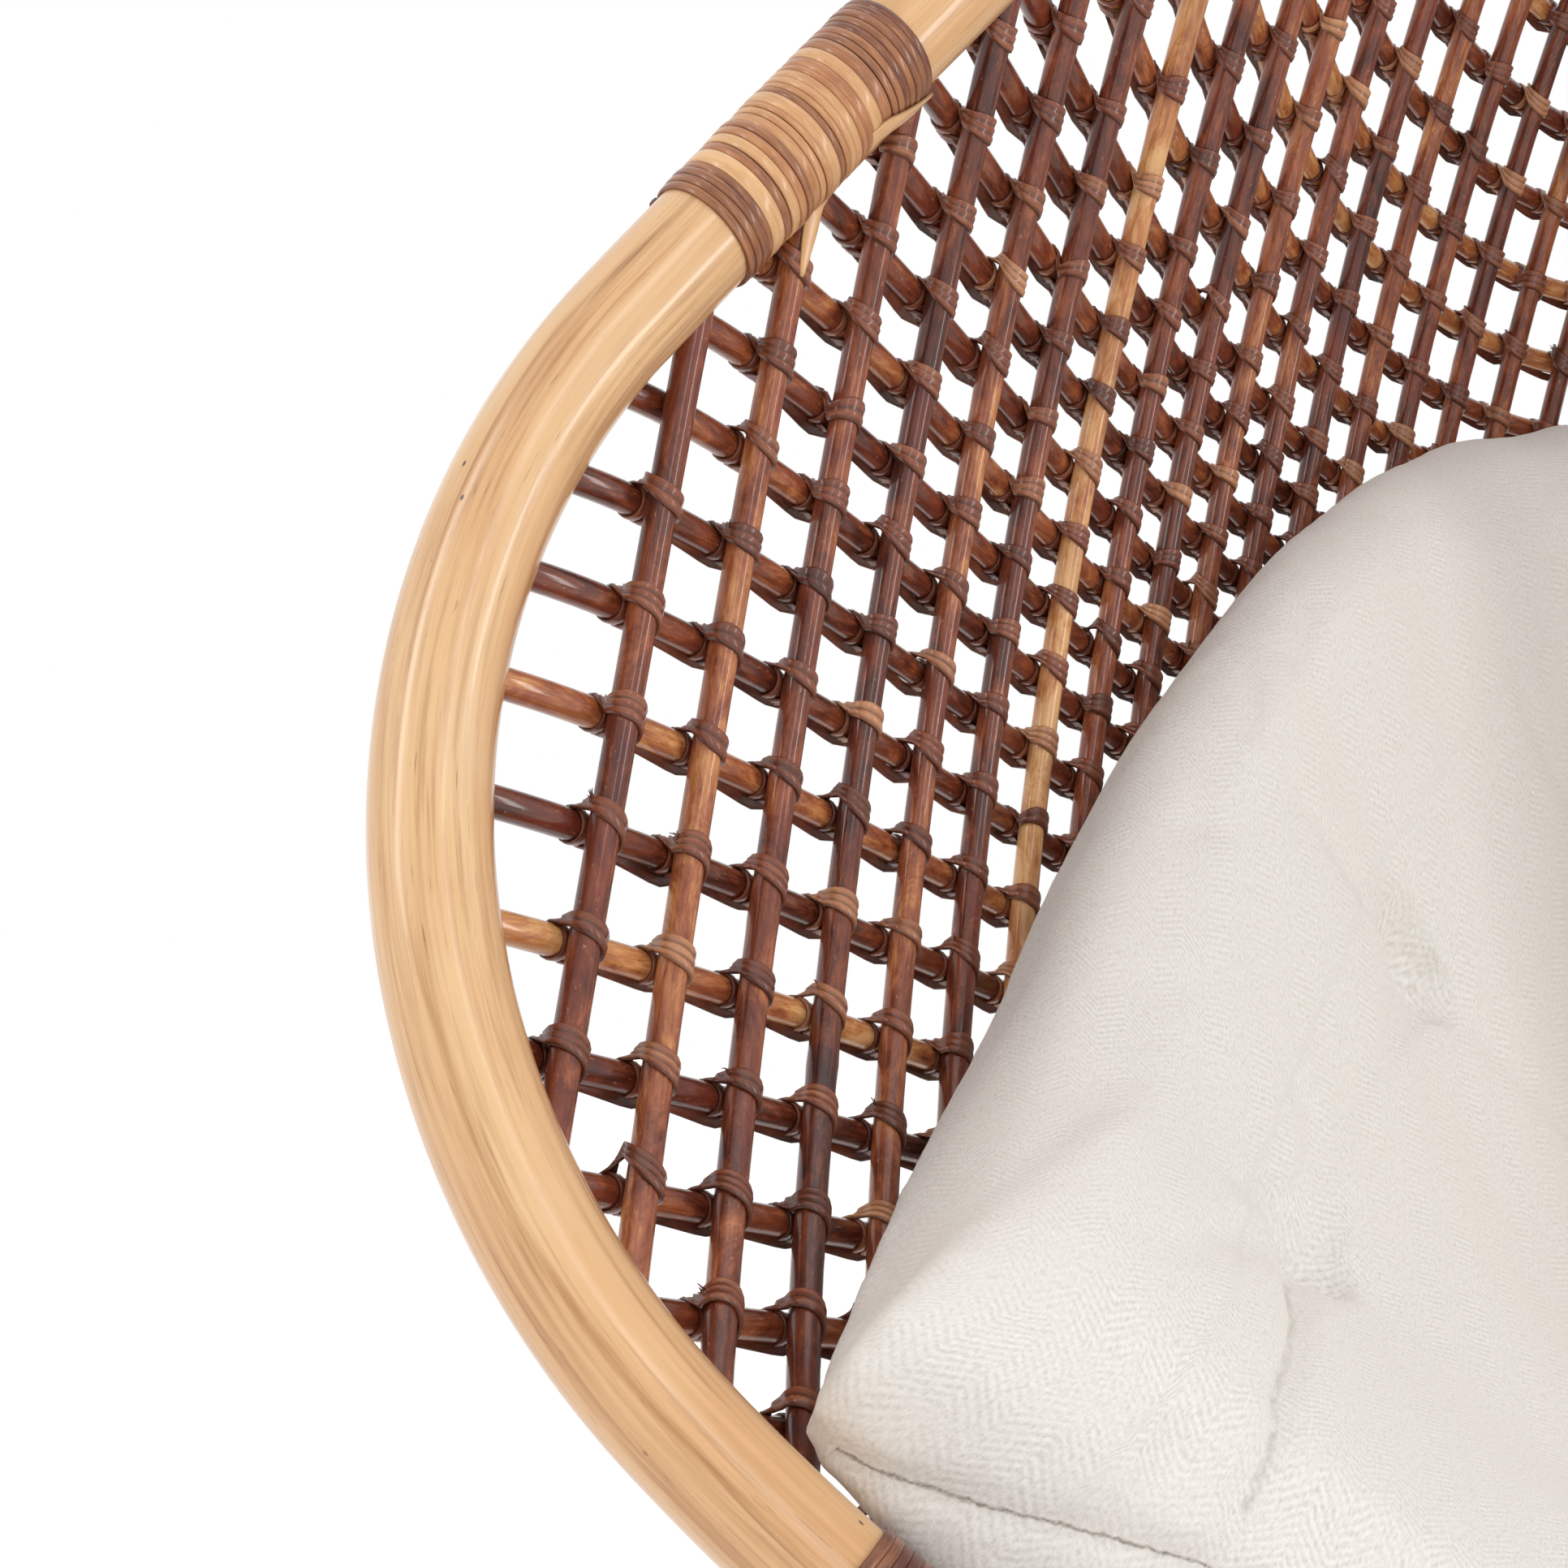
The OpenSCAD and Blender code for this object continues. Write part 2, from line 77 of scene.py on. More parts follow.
def rim_bends():
    """The right half of the rim: (radius, centre u, centre v, start, end, length before it)."""
    bends = [[BOTTOM_R, 0.0, BOTTOM_R, 0.0, BOTTOM_TURN]]
    for r, end in ((CORNER_R, CORNER_TURN), (SIDE_R, None), (TOP_R, 180.0)):
        r0, cu, cv, _, turn = bends[-1]
        cu, cv = cu + (r0 - r) * sin_d(turn), cv - (r0 - r) * cos_d(turn)
        if end is None:
            end = 180 - math.degrees(math.asin(cu / (TOP_R - r)))
        bends.append([r, cu, cv, turn, end])
    start = 0.0
    for b in bends:
        b.append(start)
        start += b[0] * math.radians(b[4] - b[3])
    return bends, start


BENDS, HALF_RIM = rim_bends()
RIM_H = BENDS[3][2] + BENDS[3][0]
HALF_W = BENDS[1][1] + BENDS[1][0]
RIB_PITCH = (HALF_W - RIB_SIDE_ROOM) / RIBS_SIDE
UP_AT = BENDS[2][5] + UP_SPLICE


def rim_at(s):
    """Points of the rim's middle line at signed lengths from its bottom, and its outward direction there."""
    s = np.atleast_1d(np.asarray(s, float))
    side, s = np.sign(s) + (s == 0), np.abs(s)
    point, out = np.zeros((len(s), 3)), np.zeros((len(s), 3))
    for r, cu, cv, start, end, before in BENDS:
        here = (s >= before - 1e-6) & (s <= before + r * math.radians(end - start) + 60)
        f = math.radians(start) + (s[here] - before) / r
        point[here] = np.stack([cu + r * np.sin(f), 0 * f, cv - r * np.cos(f)], -1)
        out[here] = np.stack([np.sin(f), 0 * f, -np.cos(f)], -1)
    point[:, 0] *= side
    out[:, 0] *= side
    return point, out


def rise_of(b, x):
    return np.sqrt(np.maximum(0, b[0] ** 2 - (x - b[1]) ** 2))


def rim_low(x):
    u1 = BENDS[0][0] * sin_d(BENDS[0][4])
    return np.where(x < u1, BENDS[0][2] - rise_of(BENDS[0], x), BENDS[1][2] - rise_of(BENDS[1], x))


def rim_high(x):
    u2 = BENDS[1][1] + BENDS[1][0] * sin_d(BENDS[1][4])
    u3 = BENDS[2][1] + BENDS[2][0] * sin_d(BENDS[2][4])
    top = BENDS[3][2] + rise_of(BENDS[3], x)
    side = BENDS[2][2] + rise_of(BENDS[2], x)
    corner = BENDS[1][2] + rise_of(BENDS[1], x)
    return np.where(x < u3, top, np.where(x < u2, side, corner))


def rib_at(u):
    """Depth, half span, middle height and bend radius of the basket in the plane u."""
    x = np.minimum(np.abs(u), HALF_W - 0.5)
    low, high = rim_low(x), rim_high(x)
    d = DEPTH * (1 - (x / HALF_W) ** FULLNESS) ** CLOSING
    c = (high - low) / 2
    return d, c, (high + low) / 2, (c * c + d * d) / (2 * d)


def on_rib(u, t, rib):
    """The point at angle t on the rib of plane u, from what rib_at says."""
    d, _, m, r = rib
    return stack(u, d - r + r * np.cos(t), m + r * np.sin(t))


def depth_at(u, v):
    d, _, m, r = rib_at(u)
    return d - r + np.sqrt(np.maximum(0, r * r - (v - m) ** 2))


def stack(*parts):
    return np.stack(np.broadcast_arrays(*parts), -1).astype(float)


def unit(p):
    return p / np.maximum(np.linalg.norm(p, axis=-1, keepdims=True), 1e-9)


def outward(u, v, e=0.5):
    du = depth_at(u + e, v) - depth_at(u - e, v)
    dv = depth_at(u, v + e) - depth_at(u, v - e)
    return unit(stack(-du, 2 * e, -dv))


def hoop_facts(n):
    """Rim point (u, v) where hoop n starts, and its rise to the back."""
    k, mid = n - MID_HOOP, BENDS[1][5] + HOOP_START
    m, low = min(k, SEEN_HOOPS), MID_HOOP - 1
    fall = HOOP_FALL if k > 0 else 2 * (mid - HOOP_PITCH * low - HOOP_BOTTOM_ROOM) / low ** 2
    seen = mid + HOOP_PITCH * SEEN_HOOPS - HOOP_FALL * SEEN_HOOPS ** 2 / 2
    top_pitch = (HALF_RIM - HOOP_TOP_ROOM - seen) / (HOOPS - MID_HOOP - SEEN_HOOPS)
    s = mid + HOOP_PITCH * m - fall * m * m / 2 + top_pitch * (k - m)
    p = rim_at(s)[0][0]
    t = (HOOP_RISE + HOOP_LOW_RISE * max(0, 1 - 2 * p[2] / RIM_H)) * min(1, p[2] / LOW_RISE_H)
    return p[0], p[2], t


def hoop_point(v, t, u):
    d, _, m, r = rib_at(u)
    wc = d - r
    a, b, c = 1 + t * t, t * (v - m) - wc, wc * wc + (v - m) ** 2 - r * r
    w = (-b + np.sqrt(np.maximum(0, b * b - a * c))) / a
    return stack(u, w, v + t * w)


def to_chair(p):
    """From the rim's frame (u right, w deep, v up, mm) to the hanging chair's, in metres."""
    p = np.asarray(p, float)
    c, s = math.cos(LEAN), math.sin(LEAN)
    v = p[..., 2] - RIM_H
    return stack(p[..., 0], p[..., 1] * c + v * s, v * c - p[..., 1] * s + POLE_Z) * MM


# ---------------- mesh building
class Shape:
    """Collects swept rods and strips, then makes one mesh of them."""

    def __init__(self):
        self.verts, self.quads, self.caps, self.count = [], [], [], 0
        self.grain, self.tone, self.edge = [], [], []

    def sweep(self, path, normal, profile, tone, scale=None, closed=False, offset=None, across=None):
        """path and normal are N x 3; profile is K x 2, along normal and across it."""
        n, k = len(path), len(profile)
        if closed:
            tangent = unit(np.roll(path, -1, 0) - np.roll(path, 1, 0))
        else:
            tangent = unit(np.gradient(path, axis=0))
        if across is None:
            across = unit(np.cross(tangent, normal))
            up = np.cross(across, tangent)
        else:
            up = normal
        size = np.ones(n) if scale is None else scale
        prof = profile[None] * size[:, None, None] if size.ndim == 1 else profile[None] * size[:, None, :]
        ring = path[:, None] + prof[..., :1] * up[:, None] + prof[..., 1:] * across[:, None]
        along = np.concatenate([[0], np.cumsum(np.linalg.norm(np.diff(path, axis=0), axis=1))])
        start = rng.uniform(0, 4000) if offset is None else offset
        grain = stack((along + start)[:, None], prof[..., 0], prof[..., 1]) * MM
        base = self.count
        idx = np.arange(n * k).reshape(n, k) + base
        nxt = np.roll(idx, -1, 0) if closed else idx[1:]
        cur = idx if closed else idx[:-1]
        quads = np.stack([cur, nxt, np.roll(nxt, -1, 1), np.roll(cur, -1, 1)], -1).reshape(-1, 4)
        self.quads.append(quads)
        if not closed:
            self.caps.append(idx[0].tolist())
            self.caps.append(idx[-1][::-1].tolist())
        self.verts.append(ring.reshape(-1, 3))
        self.grain.append(grain.reshape(-1, 3))
        self.tone.append(np.broadcast_to(np.asarray(tone, float).reshape(-1, 1), (n, k)).reshape(-1))
        # 'edge' is how high each point of the profile stands; the peel materials paint shade where it is low
        edge = np.clip(profile[:, 0] / profile[:, 0].max(), 0, 1)
        self.edge.append(np.broadcast_to(edge, (n, k)).reshape(-1))
        self.count += n * k

    def make(self, name, material, body, slot, *nodes):
        mesh = bpy.data.meshes.new(name)
        verts = to_chair(np.concatenate(self.verts))
        faces = np.concatenate(self.quads).tolist() + self.caps
        mesh.from_pydata(verts.tolist(), [], faces)
        add_vectors(mesh, "grain", np.concatenate(self.grain))
        for word, values in (("tone", self.tone), ("edge", self.edge)):
            attr = mesh.attributes.new(word, "FLOAT", "POINT")
            attr.data.foreach_set("value", np.concatenate(values).astype(np.float32))
        shade_smooth(mesh)
        mesh.update()
        mesh.materials.append(material)
        return place(bpy.data.objects.new(name, mesh), body, slot, *nodes)


def add_vectors(mesh, name, values):
    attr = mesh.attributes.new(name, "FLOAT_VECTOR", "POINT")
    attr.data.foreach_set("vector", values.astype(np.float32).ravel())


def shade_smooth(mesh):
    mesh.polygons.foreach_set("use_smooth", np.ones(len(mesh.polygons), bool))


def place(obj, body, slot, *nodes):
    if obj.name not in bpy.context.scene.collection.objects:
        bpy.context.scene.collection.objects.link(obj)
    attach(obj, body)
    if nodes:
        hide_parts(*nodes)
    return obj


def circle(r, sides):
    a = np.linspace(0, 2 * math.pi, sides, endpoint=False)
    return np.stack([r * np.cos(a), -r * np.sin(a)], -1)


def strip(width, thick):
    """A flat peel strip with eased edges, from its inner face up."""
    w, t = width / 2, thick
    return np.array([[-0.3 * t, -0.96 * w], [0.5 * t, -w], [0.9 * t, -0.86 * w], [t, -0.3 * w],
                     [t, 0.3 * w], [0.9 * t, 0.86 * w], [0.5 * t, w], [-0.3 * t, 0.96 * w]])


def wander(n, step, amount):
    """A slow random drift along n samples, step mm apart, with a knot about each 90 mm."""
    x = np.linspace(0, 1, n)
    k = max(4, int(n * step / 9 / 10))
    return np.interp(x, np.linspace(0, 1, k), rng.normal(0, amount, k))


# ---------------- materials
def srgb(r, g, b):
    def one(c):
        c /= 255.0
        return c / 12.92 if c <= 0.04045 else ((c + 0.055) / 1.055) ** 2.4
    return (one(r), one(g), one(b), 1.0)


class Graph:
    """Short form for building a node tree."""

    def __init__(self, name):
        self.mat = bpy.data.materials.new(name)
        self.mat.use_nodes = True
        self.nodes, self.links = self.mat.node_tree.nodes, self.mat.node_tree.links
        self.nodes.clear()
        self.out = self.nodes.new("ShaderNodeOutputMaterial")
        self.bsdf = self.nodes.new("ShaderNodeBsdfPrincipled")
        self.links.new(self.bsdf.outputs[0], self.out.inputs[0])

    def add(self, kind, inputs=(), **props):
        node = self.nodes.new(kind)
        for k, v in props.items():
            setattr(node, k, v)
        for k, v in dict(inputs).items():
            if isinstance(v, bpy.types.NodeSocket):
                self.links.new(v, node.inputs[k])
            else:
                node.inputs[k].default_value = v
        return node

    def attr(self, name):
        return self.add("ShaderNodeAttribute", attribute_name=name)

    def scaled(self, vector, scale, shift=(0, 0, 0)):
        return self.add("ShaderNodeMapping", {0: vector, "Scale": scale, "Location": shift}).outputs[0]

    def noise(self, vector, detail=4.0, rough=0.55, distort=0.0):
        return self.add("ShaderNodeTexNoise", {"Vector": vector, "Scale": 1.0, "Detail": detail,
                                               "Roughness": rough, "Distortion": distort}).outputs["Fac"]

    def ramp(self, value, *stops):
        node = self.add("ShaderNodeValToRGB", {0: value})
        r = node.color_ramp
        while len(r.elements) < len(stops):
            r.elements.new(0.5)
        for e, (at, col) in zip(r.elements, stops):
            e.position = at
            e.color = col if isinstance(col, tuple) else (col, col, col, 1)
        return node.outputs[0]

    def math(self, op, a, b=0.0, clamp=False):
        return self.add("ShaderNodeMath", {0: a, 1: b}, operation=op, use_clamp=clamp).outputs[0]

    def vary(self, value, noise, amount):
        """value with amount times the noise about its middle."""
        return self.math("ADD", value, self.math("MULTIPLY", self.math("SUBTRACT", noise, 0.5), amount))

    def gated(self, value, gate):
        """Product of two ramps."""
        return self.math("MULTIPLY", self.ramp(*value), self.ramp(*gate))

    def close_to(self, distance, width):
        """1 at distance 0, down to 0 at the width."""
        return self.math("SUBTRACT", 1.0, self.math("DIVIDE", distance, width), clamp=True)

    def mix(self, fac, a, b):
        node = self.add("ShaderNodeMix", {}, data_type="RGBA")
        for socket, v in ((node.inputs[0], fac), (node.inputs[6], a), (node.inputs[7], b)):
            if isinstance(v, bpy.types.NodeSocket):
                self.links.new(v, socket)
            else:
                socket.default_value = v
        return node.outputs[2]

    def finish(self, color, rough, height, strength, distance, **sockets):
        for key, v in (("Base Color", color), ("Roughness", rough)):
            if isinstance(v, bpy.types.NodeSocket):
                self.links.new(v, self.bsdf.inputs[key])
            else:
                self.bsdf.inputs[key].default_value = v
        bump = self.add("ShaderNodeBump", {"Height": height, "Strength": strength, "Distance": distance})
        self.links.new(bump.outputs[0], self.bsdf.inputs["Normal"])
        for k, v in sockets.items():
            self.bsdf.inputs[k.replace("_", " ")].default_value = v
        return self.mat


def pole_material():
    """Peeled rattan pole: tan, with long brown streaks; tone 1 is the deeper, more orange wood."""
    g = Graph("rattan_pole")
    grain = g.attr("grain").outputs["Vector"]
    tone = g.attr("tone").outputs["Fac"]
    broad = g.noise(g.scaled(grain, (4, 40, 40)), detail=2, distort=0.2)
    cloud = g.noise(g.scaled(grain, (13, 26, 26), (4, 4, 1)), detail=3)
    long = g.noise(g.scaled(grain, (5, 115, 115), (3, 1, 5)), detail=3, rough=0.6)
    fibre = g.noise(g.scaled(grain, (14, 430, 430)), detail=5, rough=0.65)
    core = g.noise(g.scaled(grain, (9, 240, 240), (7, 2, 3)), detail=2)
    dash = g.noise(g.scaled(grain, (60, 900, 900), (1, 6, 5)), detail=3, rough=0.6)
    base = g.ramp(broad, (0.3, srgb(208, 155, 105)), (0.44, srgb(222, 174, 122)), (0.6, srgb(231, 189, 138)),
                  (0.74, srgb(237, 201, 153)))
    base = g.mix(g.ramp(cloud, (0.42, 0.0), (0.75, 0.5)), base, srgb(216, 160, 108))
    base = g.mix(g.ramp(cloud, (0.24, 0.5), (0.4, 0.0)), base, srgb(230, 194, 152))
    base = g.mix(g.math("MULTIPLY", tone, 0.95), base, srgb(200, 140, 74))
    wide = g.noise(g.scaled(grain, (2.2, 52, 52), (2, 9, 4)), detail=3, rough=0.6)
    base = g.mix(g.ramp(wide, (0.36, 0.65), (0.5, 0.0)), base, srgb(200, 148, 94))
    base = g.mix(g.ramp(long, (0.3, 0.85), (0.48, 0.0)), base, srgb(182, 128, 76))
    streak = g.gated((fibre, (0.34, 0.7), (0.52, 0.0)), (long, (0.4, 1.0), (0.62, 0.3)))
    base = g.mix(streak, base, srgb(168, 112, 62))
    inner = g.gated((core, (0.25, 0.85), (0.36, 0.0)), (long, (0.42, 1.0), (0.56, 0.15)))
    base = g.mix(inner, base, srgb(140, 88, 42))
    short = g.gated((dash, (0.26, 0.9), (0.35, 0.0)), (long, (0.4, 1.0), (0.6, 0.2)))
    base = g.mix(short, base, srgb(124, 76, 36))
    cells = g.add("ShaderNodeTexVoronoi", {"Vector": g.scaled(grain, (60, 110, 110)), "Scale": 1.0})
    speck = cells.outputs["Distance"]
    gate = g.noise(g.scaled(grain, (9, 9, 9), (9, 2, 4)), detail=0)
    spot = g.gated((speck, (0.04, 1.0), (0.08, 0.0)), (gate, (0.56, 0.0), (0.6, 1.0)))
    base = g.mix(spot, base, srgb(66, 36, 16))
    height = g.math("ADD", g.math("MULTIPLY", fibre, 0.4), g.math("MULTIPLY", long, 0.6))
    rough = g.ramp(fibre, (0.3, 0.48), (0.7, 0.38))
    return g.finish(base, rough, height, 0.12, 0.0006,
                    Coat_Weight=0.85, Coat_Roughness=0.17, Specular_IOR_Level=0.35)


def rod_material():
    """Stained rods: tone 0 is near black, 0.5 red brown, 1 pale caramel."""
    g = Graph("rattan_rods")
    grain = g.attr("grain").outputs["Vector"]
    tone = g.attr("tone").outputs["Fac"]
    patch = g.noise(g.scaled(grain, (34, 100, 100)), detail=6, rough=0.7, distort=0.8)
    fibre = g.noise(g.scaled(grain, (60, 900, 900)), detail=4, rough=0.7)
    scuff = g.noise(g.scaled(grain, (230, 700, 700), (5, 7, 1)), detail=4, rough=0.75)
    knot = g.noise(g.scaled(grain, (8, 12, 12), (1, 8, 3)), detail=1)
    value = g.vary(g.vary(g.vary(tone, patch, 1.5), fibre, 0.5), knot, 0.8)
    base = g.ramp(value, (0.0, srgb(46, 12, 2)), (0.2, srgb(82, 30, 12)), (0.42, srgb(126, 60, 32)),
                  (0.6, srgb(164, 92, 54)), (0.8, srgb(204, 138, 82)), (1.0, srgb(232, 180, 122)))
    red = g.noise(g.scaled(grain, (18, 80, 80), (2, 3, 9)), detail=2)
    base = g.mix(g.ramp(red, (0.52, 0.0), (0.7, 0.5)), base, srgb(126, 52, 34))
    base = g.mix(g.ramp(scuff, (0.63, 0.0), (0.72, 0.55)), base, srgb(214, 166, 126))
    base = g.mix(g.ramp(scuff, (0.28, 0.8), (0.37, 0.0)), base, srgb(48, 22, 15))
    height = g.math("ADD", g.math("MULTIPLY", fibre, 0.25), g.math("MULTIPLY", scuff, 0.6))
    rough = g.ramp(scuff, (0.3, 0.38), (0.7, 0.55))
    return g.finish(base, rough, height, 0.42, 0.0005,
                    Coat_Weight=0.75, Coat_Roughness=0.12, Specular_IOR_Level=0.25)


def peel_material(name, low, mid, high, gap_shade):
    """Flat peel, with painted shade along the strip's edges and in the gaps between its laps, where 'edge' is
    low.
    """
    g = Graph(name)
    grain = g.attr("grain").outputs["Vector"]
    tone = g.attr("tone").outputs["Fac"]
    fibre = g.noise(g.scaled(grain, (50, 1100, 1100)), detail=4, rough=0.7)
    patch = g.noise(g.scaled(grain, (70, 260, 260)), detail=4, rough=0.65)
    value = g.vary(g.vary(tone, fibre, 0.5), patch, 0.7)
    base = g.ramp(value, (0.0, low), (0.5, mid), (1.0, high))
    # painted shade: where the profile is low, at the strip's edges and lap gaps, the colour darkens towards a
    # third of the low colour
    shade = g.ramp(g.attr("edge").outputs["Fac"], (0.62, gap_shade), (0.86, 0.0))
    base = g.mix(shade, base, tuple(0.3 * c for c in low[:3]) + (1.0,))
    rough = g.ramp(patch, (0.3, 0.36), (0.7, 0.52))
    return g.finish(base, rough, fibre, 0.35, 0.0004,
                    Coat_Weight=0.6, Coat_Roughness=0.16, Specular_IOR_Level=0.3)


# The weave's lines, in m: how far they run one way, and one line's pitch
WEAVE_TURN, WEAVE_LINE = 0.0125, 0.004


def pad_material():
    """Off-white herringbone cloth, with painted shade along its seam, channels and folds.

    'cloth' is metres across and along the pad; the other vector is metres from its seam, channels and folds,
    where shade is painted on the cloth.
    """
    g = Graph("herringbone_cloth")
    cloth = g.attr("cloth").outputs["Vector"]
    jitter = g.add("ShaderNodeTexNoise", {"Vector": cloth, "Scale": 320.0, "Detail": 1.0}).outputs["Color"]
    warp = g.add("ShaderNodeVectorMath", {0: jitter, 1: (0.0014, 0.0014, 0.0)}, operation="MULTIPLY")
    pos = g.add("ShaderNodeVectorMath", {0: cloth, 1: warp.outputs[0]}, operation="ADD")
    xyz = g.add("ShaderNodeSeparateXYZ", {0: pos.outputs[0]})
    x, y = xyz.outputs[0], xyz.outputs[1]
    fold = g.math("PINGPONG", x, WEAVE_TURN)
    line = g.math("SINE", g.math("MULTIPLY", g.math("ADD", fold, y), 2 * math.pi / WEAVE_LINE))
    fade = g.ramp(g.noise(g.scaled(cloth, (38, 38, 38)), detail=2), (0.35, 0.25), (0.65, 1.0))
    line = g.math("MULTIPLY", line, fade)
    fuzz = g.noise(g.scaled(cloth, (950, 420, 500)), detail=3, rough=0.7)
    slub = g.noise(g.scaled(cloth, (620, 190, 200), (3, 1, 2)), detail=2)
    height = g.math("ADD", g.math("MULTIPLY", line, 0.28), g.math("MULTIPLY", fuzz, 1.6))
    height = g.math("ADD", height, g.math("MULTIPLY", slub, 0.8))
    shade = g.ramp(g.math("ADD", g.math("MULTIPLY", line, 0.11), fuzz),
                   (0.22, srgb(208, 203, 195)), (0.5, srgb(231, 228, 223)), (0.78, srgb(245, 243, 240)))
    base = g.mix(g.ramp(slub, (0.3, 0.3), (0.45, 0.0)), shade, srgb(200, 191, 181))
    tint = g.noise(g.scaled(cloth, (9, 9, 9), (2, 5, 1)), detail=2)
    base = g.mix(g.ramp(tint, (0.35, 0.0), (0.7, 0.3)), base, srgb(231, 227, 217))
    shade_lines = g.add("ShaderNodeSeparateXYZ", {0: g.attr("shade_lines").outputs["Vector"]})
    wave = g.noise(g.scaled(cloth, (330, 330, 330)), detail=1)
    from_seam = g.math("ABSOLUTE", g.vary(shade_lines.outputs[0], wave, 0.0022))
    seam_line_shade, seam_dip_and_shade = g.close_to(from_seam, 0.0011), g.close_to(from_seam, 0.005)
    # painted shade: the cloth darkens a little within 5 mm of the seam and deeply along its crease; the dip
    # in height below is real
    base = g.mix(g.math("MULTIPLY", seam_dip_and_shade, 0.12), base, srgb(170, 158, 142))
    base = g.mix(g.math("MULTIPLY", seam_line_shade, g.ramp(fuzz, (0.35, 0.9), (0.65, 0.45))), base, srgb(112, 100, 86))
    # painted shade along the channels' fold lines
    channel_shade = g.close_to(shade_lines.outputs[1], 0.0022)
    base = g.mix(g.math("MULTIPLY", channel_shade, 0.5), base, srgb(168, 158, 146))
    # painted shade along the sharp parts of three creases
    crease_shade = g.close_to(shade_lines.outputs[2], 0.0018)
    base = g.mix(g.math("MULTIPLY", crease_shade, 0.35), base, srgb(168, 158, 146))
    height = g.math("SUBTRACT", height, g.math("MULTIPLY", seam_dip_and_shade, 0.8))
    return g.finish(base, 0.92, height, 0.32, 0.0006,
                    Sheen_Weight=0.2, Sheen_Roughness=0.5, Specular_IOR_Level=0.15)


def steel_material():
    g = Graph("brushed_zinc_steel")
    where = g.add("ShaderNodeTexCoord").outputs["Object"]
    cloud = g.noise(g.scaled(where, (70, 70, 70)), detail=5, rough=0.65)
    brush = g.noise(g.scaled(where, (60, 60, 1900)), detail=3)
    base = g.ramp(cloud, (0.3, srgb(150, 152, 156)), (0.7, srgb(196, 198, 200)))
    rough = g.ramp(cloud, (0.3, 0.42), (0.7, 0.26))
    return g.finish(base, rough, brush, 0.12, 0.0003, Metallic=1.0)


POLE = pole_material()
RODS = rod_material()
# The last number sets how dark the painted shade at the strips' edges and lap gaps is
BAND = peel_material("peel_band", srgb(88, 32, 16), srgb(186, 124, 78), srgb(234, 188, 134), 0.45)
TIES = peel_material("peel_ties", srgb(52, 16, 6), srgb(138, 74, 48), srgb(208, 148, 104), 0.5)
PAD = pad_material()
STEEL = steel_material()


# ---------------- rim
POLE_RING = circle(POLE_R, 56)
POLE_STEP = 5


def rim_pole(name, start, end, deep=0.0):
    shape = Shape()
    n = int(abs(end - start) / POLE_STEP)
    s = np.linspace(start, end, n)
    path, out = rim_at(s)
    scale = 1 + wander(n, POLE_STEP, 0.008)
    tones = np.clip(deep + wander(n, POLE_STEP, 0.12), 0, 1)
    shape.sweep(path, out, POLE_RING, tones, scale, offset=s[0] + 3000)
    shape.make(name, POLE, "chair", "pole", name)


rim_pole("rim_bottom", -LOW_SPLICE, LOW_SPLICE, 0.5)
rim_pole("rim_left", -LOW_SPLICE - 0.1, -UP_AT)
rim_pole("rim_right", LOW_SPLICE + 0.1, UP_AT)
top = Shape()
span = np.linspace(UP_AT + 0.1, HALF_RIM, 140)
left, left_out = rim_at(-span)
right, right_out = rim_at(span[::-1][1:])
top.sweep(np.concatenate([left, right]), np.concatenate([left_out, right_out]), POLE_RING, 0.05, offset=7000)
top.make("rim_top", POLE, "chair", "pole", "rim_top")

# ---------------- rim lashings
BAND_W, BAND_T = 3.5, 1.3
TURN_STEPS, SOFTEN = 52, 9
LASH_END = 0.5
DEEP = np.array([0.0, 1.0, 0.0])
# Samples of a tongue on the rim and on the rib, and how far from the splice's middle such ribs end
RIM_PART, RIB_PART, TONGUE_REACH = 7, 6, 67.0
LIGHT_ROOM = 64


def soften(q):
    """Running mean over SOFTEN samples either way."""
    window = np.ones(2 * SOFTEN + 1)
    return np.convolve(np.pad(q, SOFTEN, "edge"), window / len(window), "valid")


def lashing(middle, widths, tones):
    """Turns of peel round the rim, from the lower end up, with the width and tone of each."""
    shape = Shape()
    turns = len(widths)
    widths = np.array(widths) * (LASH_L - 2 * LASH_END) / sum(widths)
    edges = np.concatenate([[0], np.cumsum(widths)])
    a = np.linspace(0, 2 * math.pi * (turns - 1), TURN_STEPS * (turns - 1))
    at = a / (2 * math.pi)
    mids = (edges[1:] + edges[:-1]) / 2
    s = abs(middle) - LASH_L / 2 + LASH_END + np.interp(at, np.arange(turns), mids) + 0.2 * np.sin(a + 1.3)
    centre, out = rim_at((1 if middle > 0 else -1) * s)
    pick = np.floor(at + 0.75).astype(int)
    lift = soften(rng.normal(0, 0.14, turns)[pick])
    radial = np.cos(a)[:, None] * out + np.sin(a)[:, None] * DEEP
    path = centre + radial * (POLE_R + 0.35 + lift)[:, None]
    scale = np.stack([np.ones(len(a)), soften(widths[pick] / BAND_W) * 1.03], -1)
    shape.sweep(path, radial, strip(BAND_W, BAND_T), np.array(tones)[pick], scale)
    return shape


def rim_length(u):
    """Length along the rim to its point at u on the upper part."""
    s = np.linspace(0, HALF_RIM, 4000)
    x = rim_at(s)[0][:, 0]
    widest = int(np.argmax(x))
    x, s = x[widest:], s[widest:]
    order = np.argsort(x)
    return float(np.interp(abs(u), x[order], s[order]))


def resample(q, at):
    return np.stack([np.interp(at, np.arange(len(q)), q[:, i]) for i in range(q.shape[1])], -1)


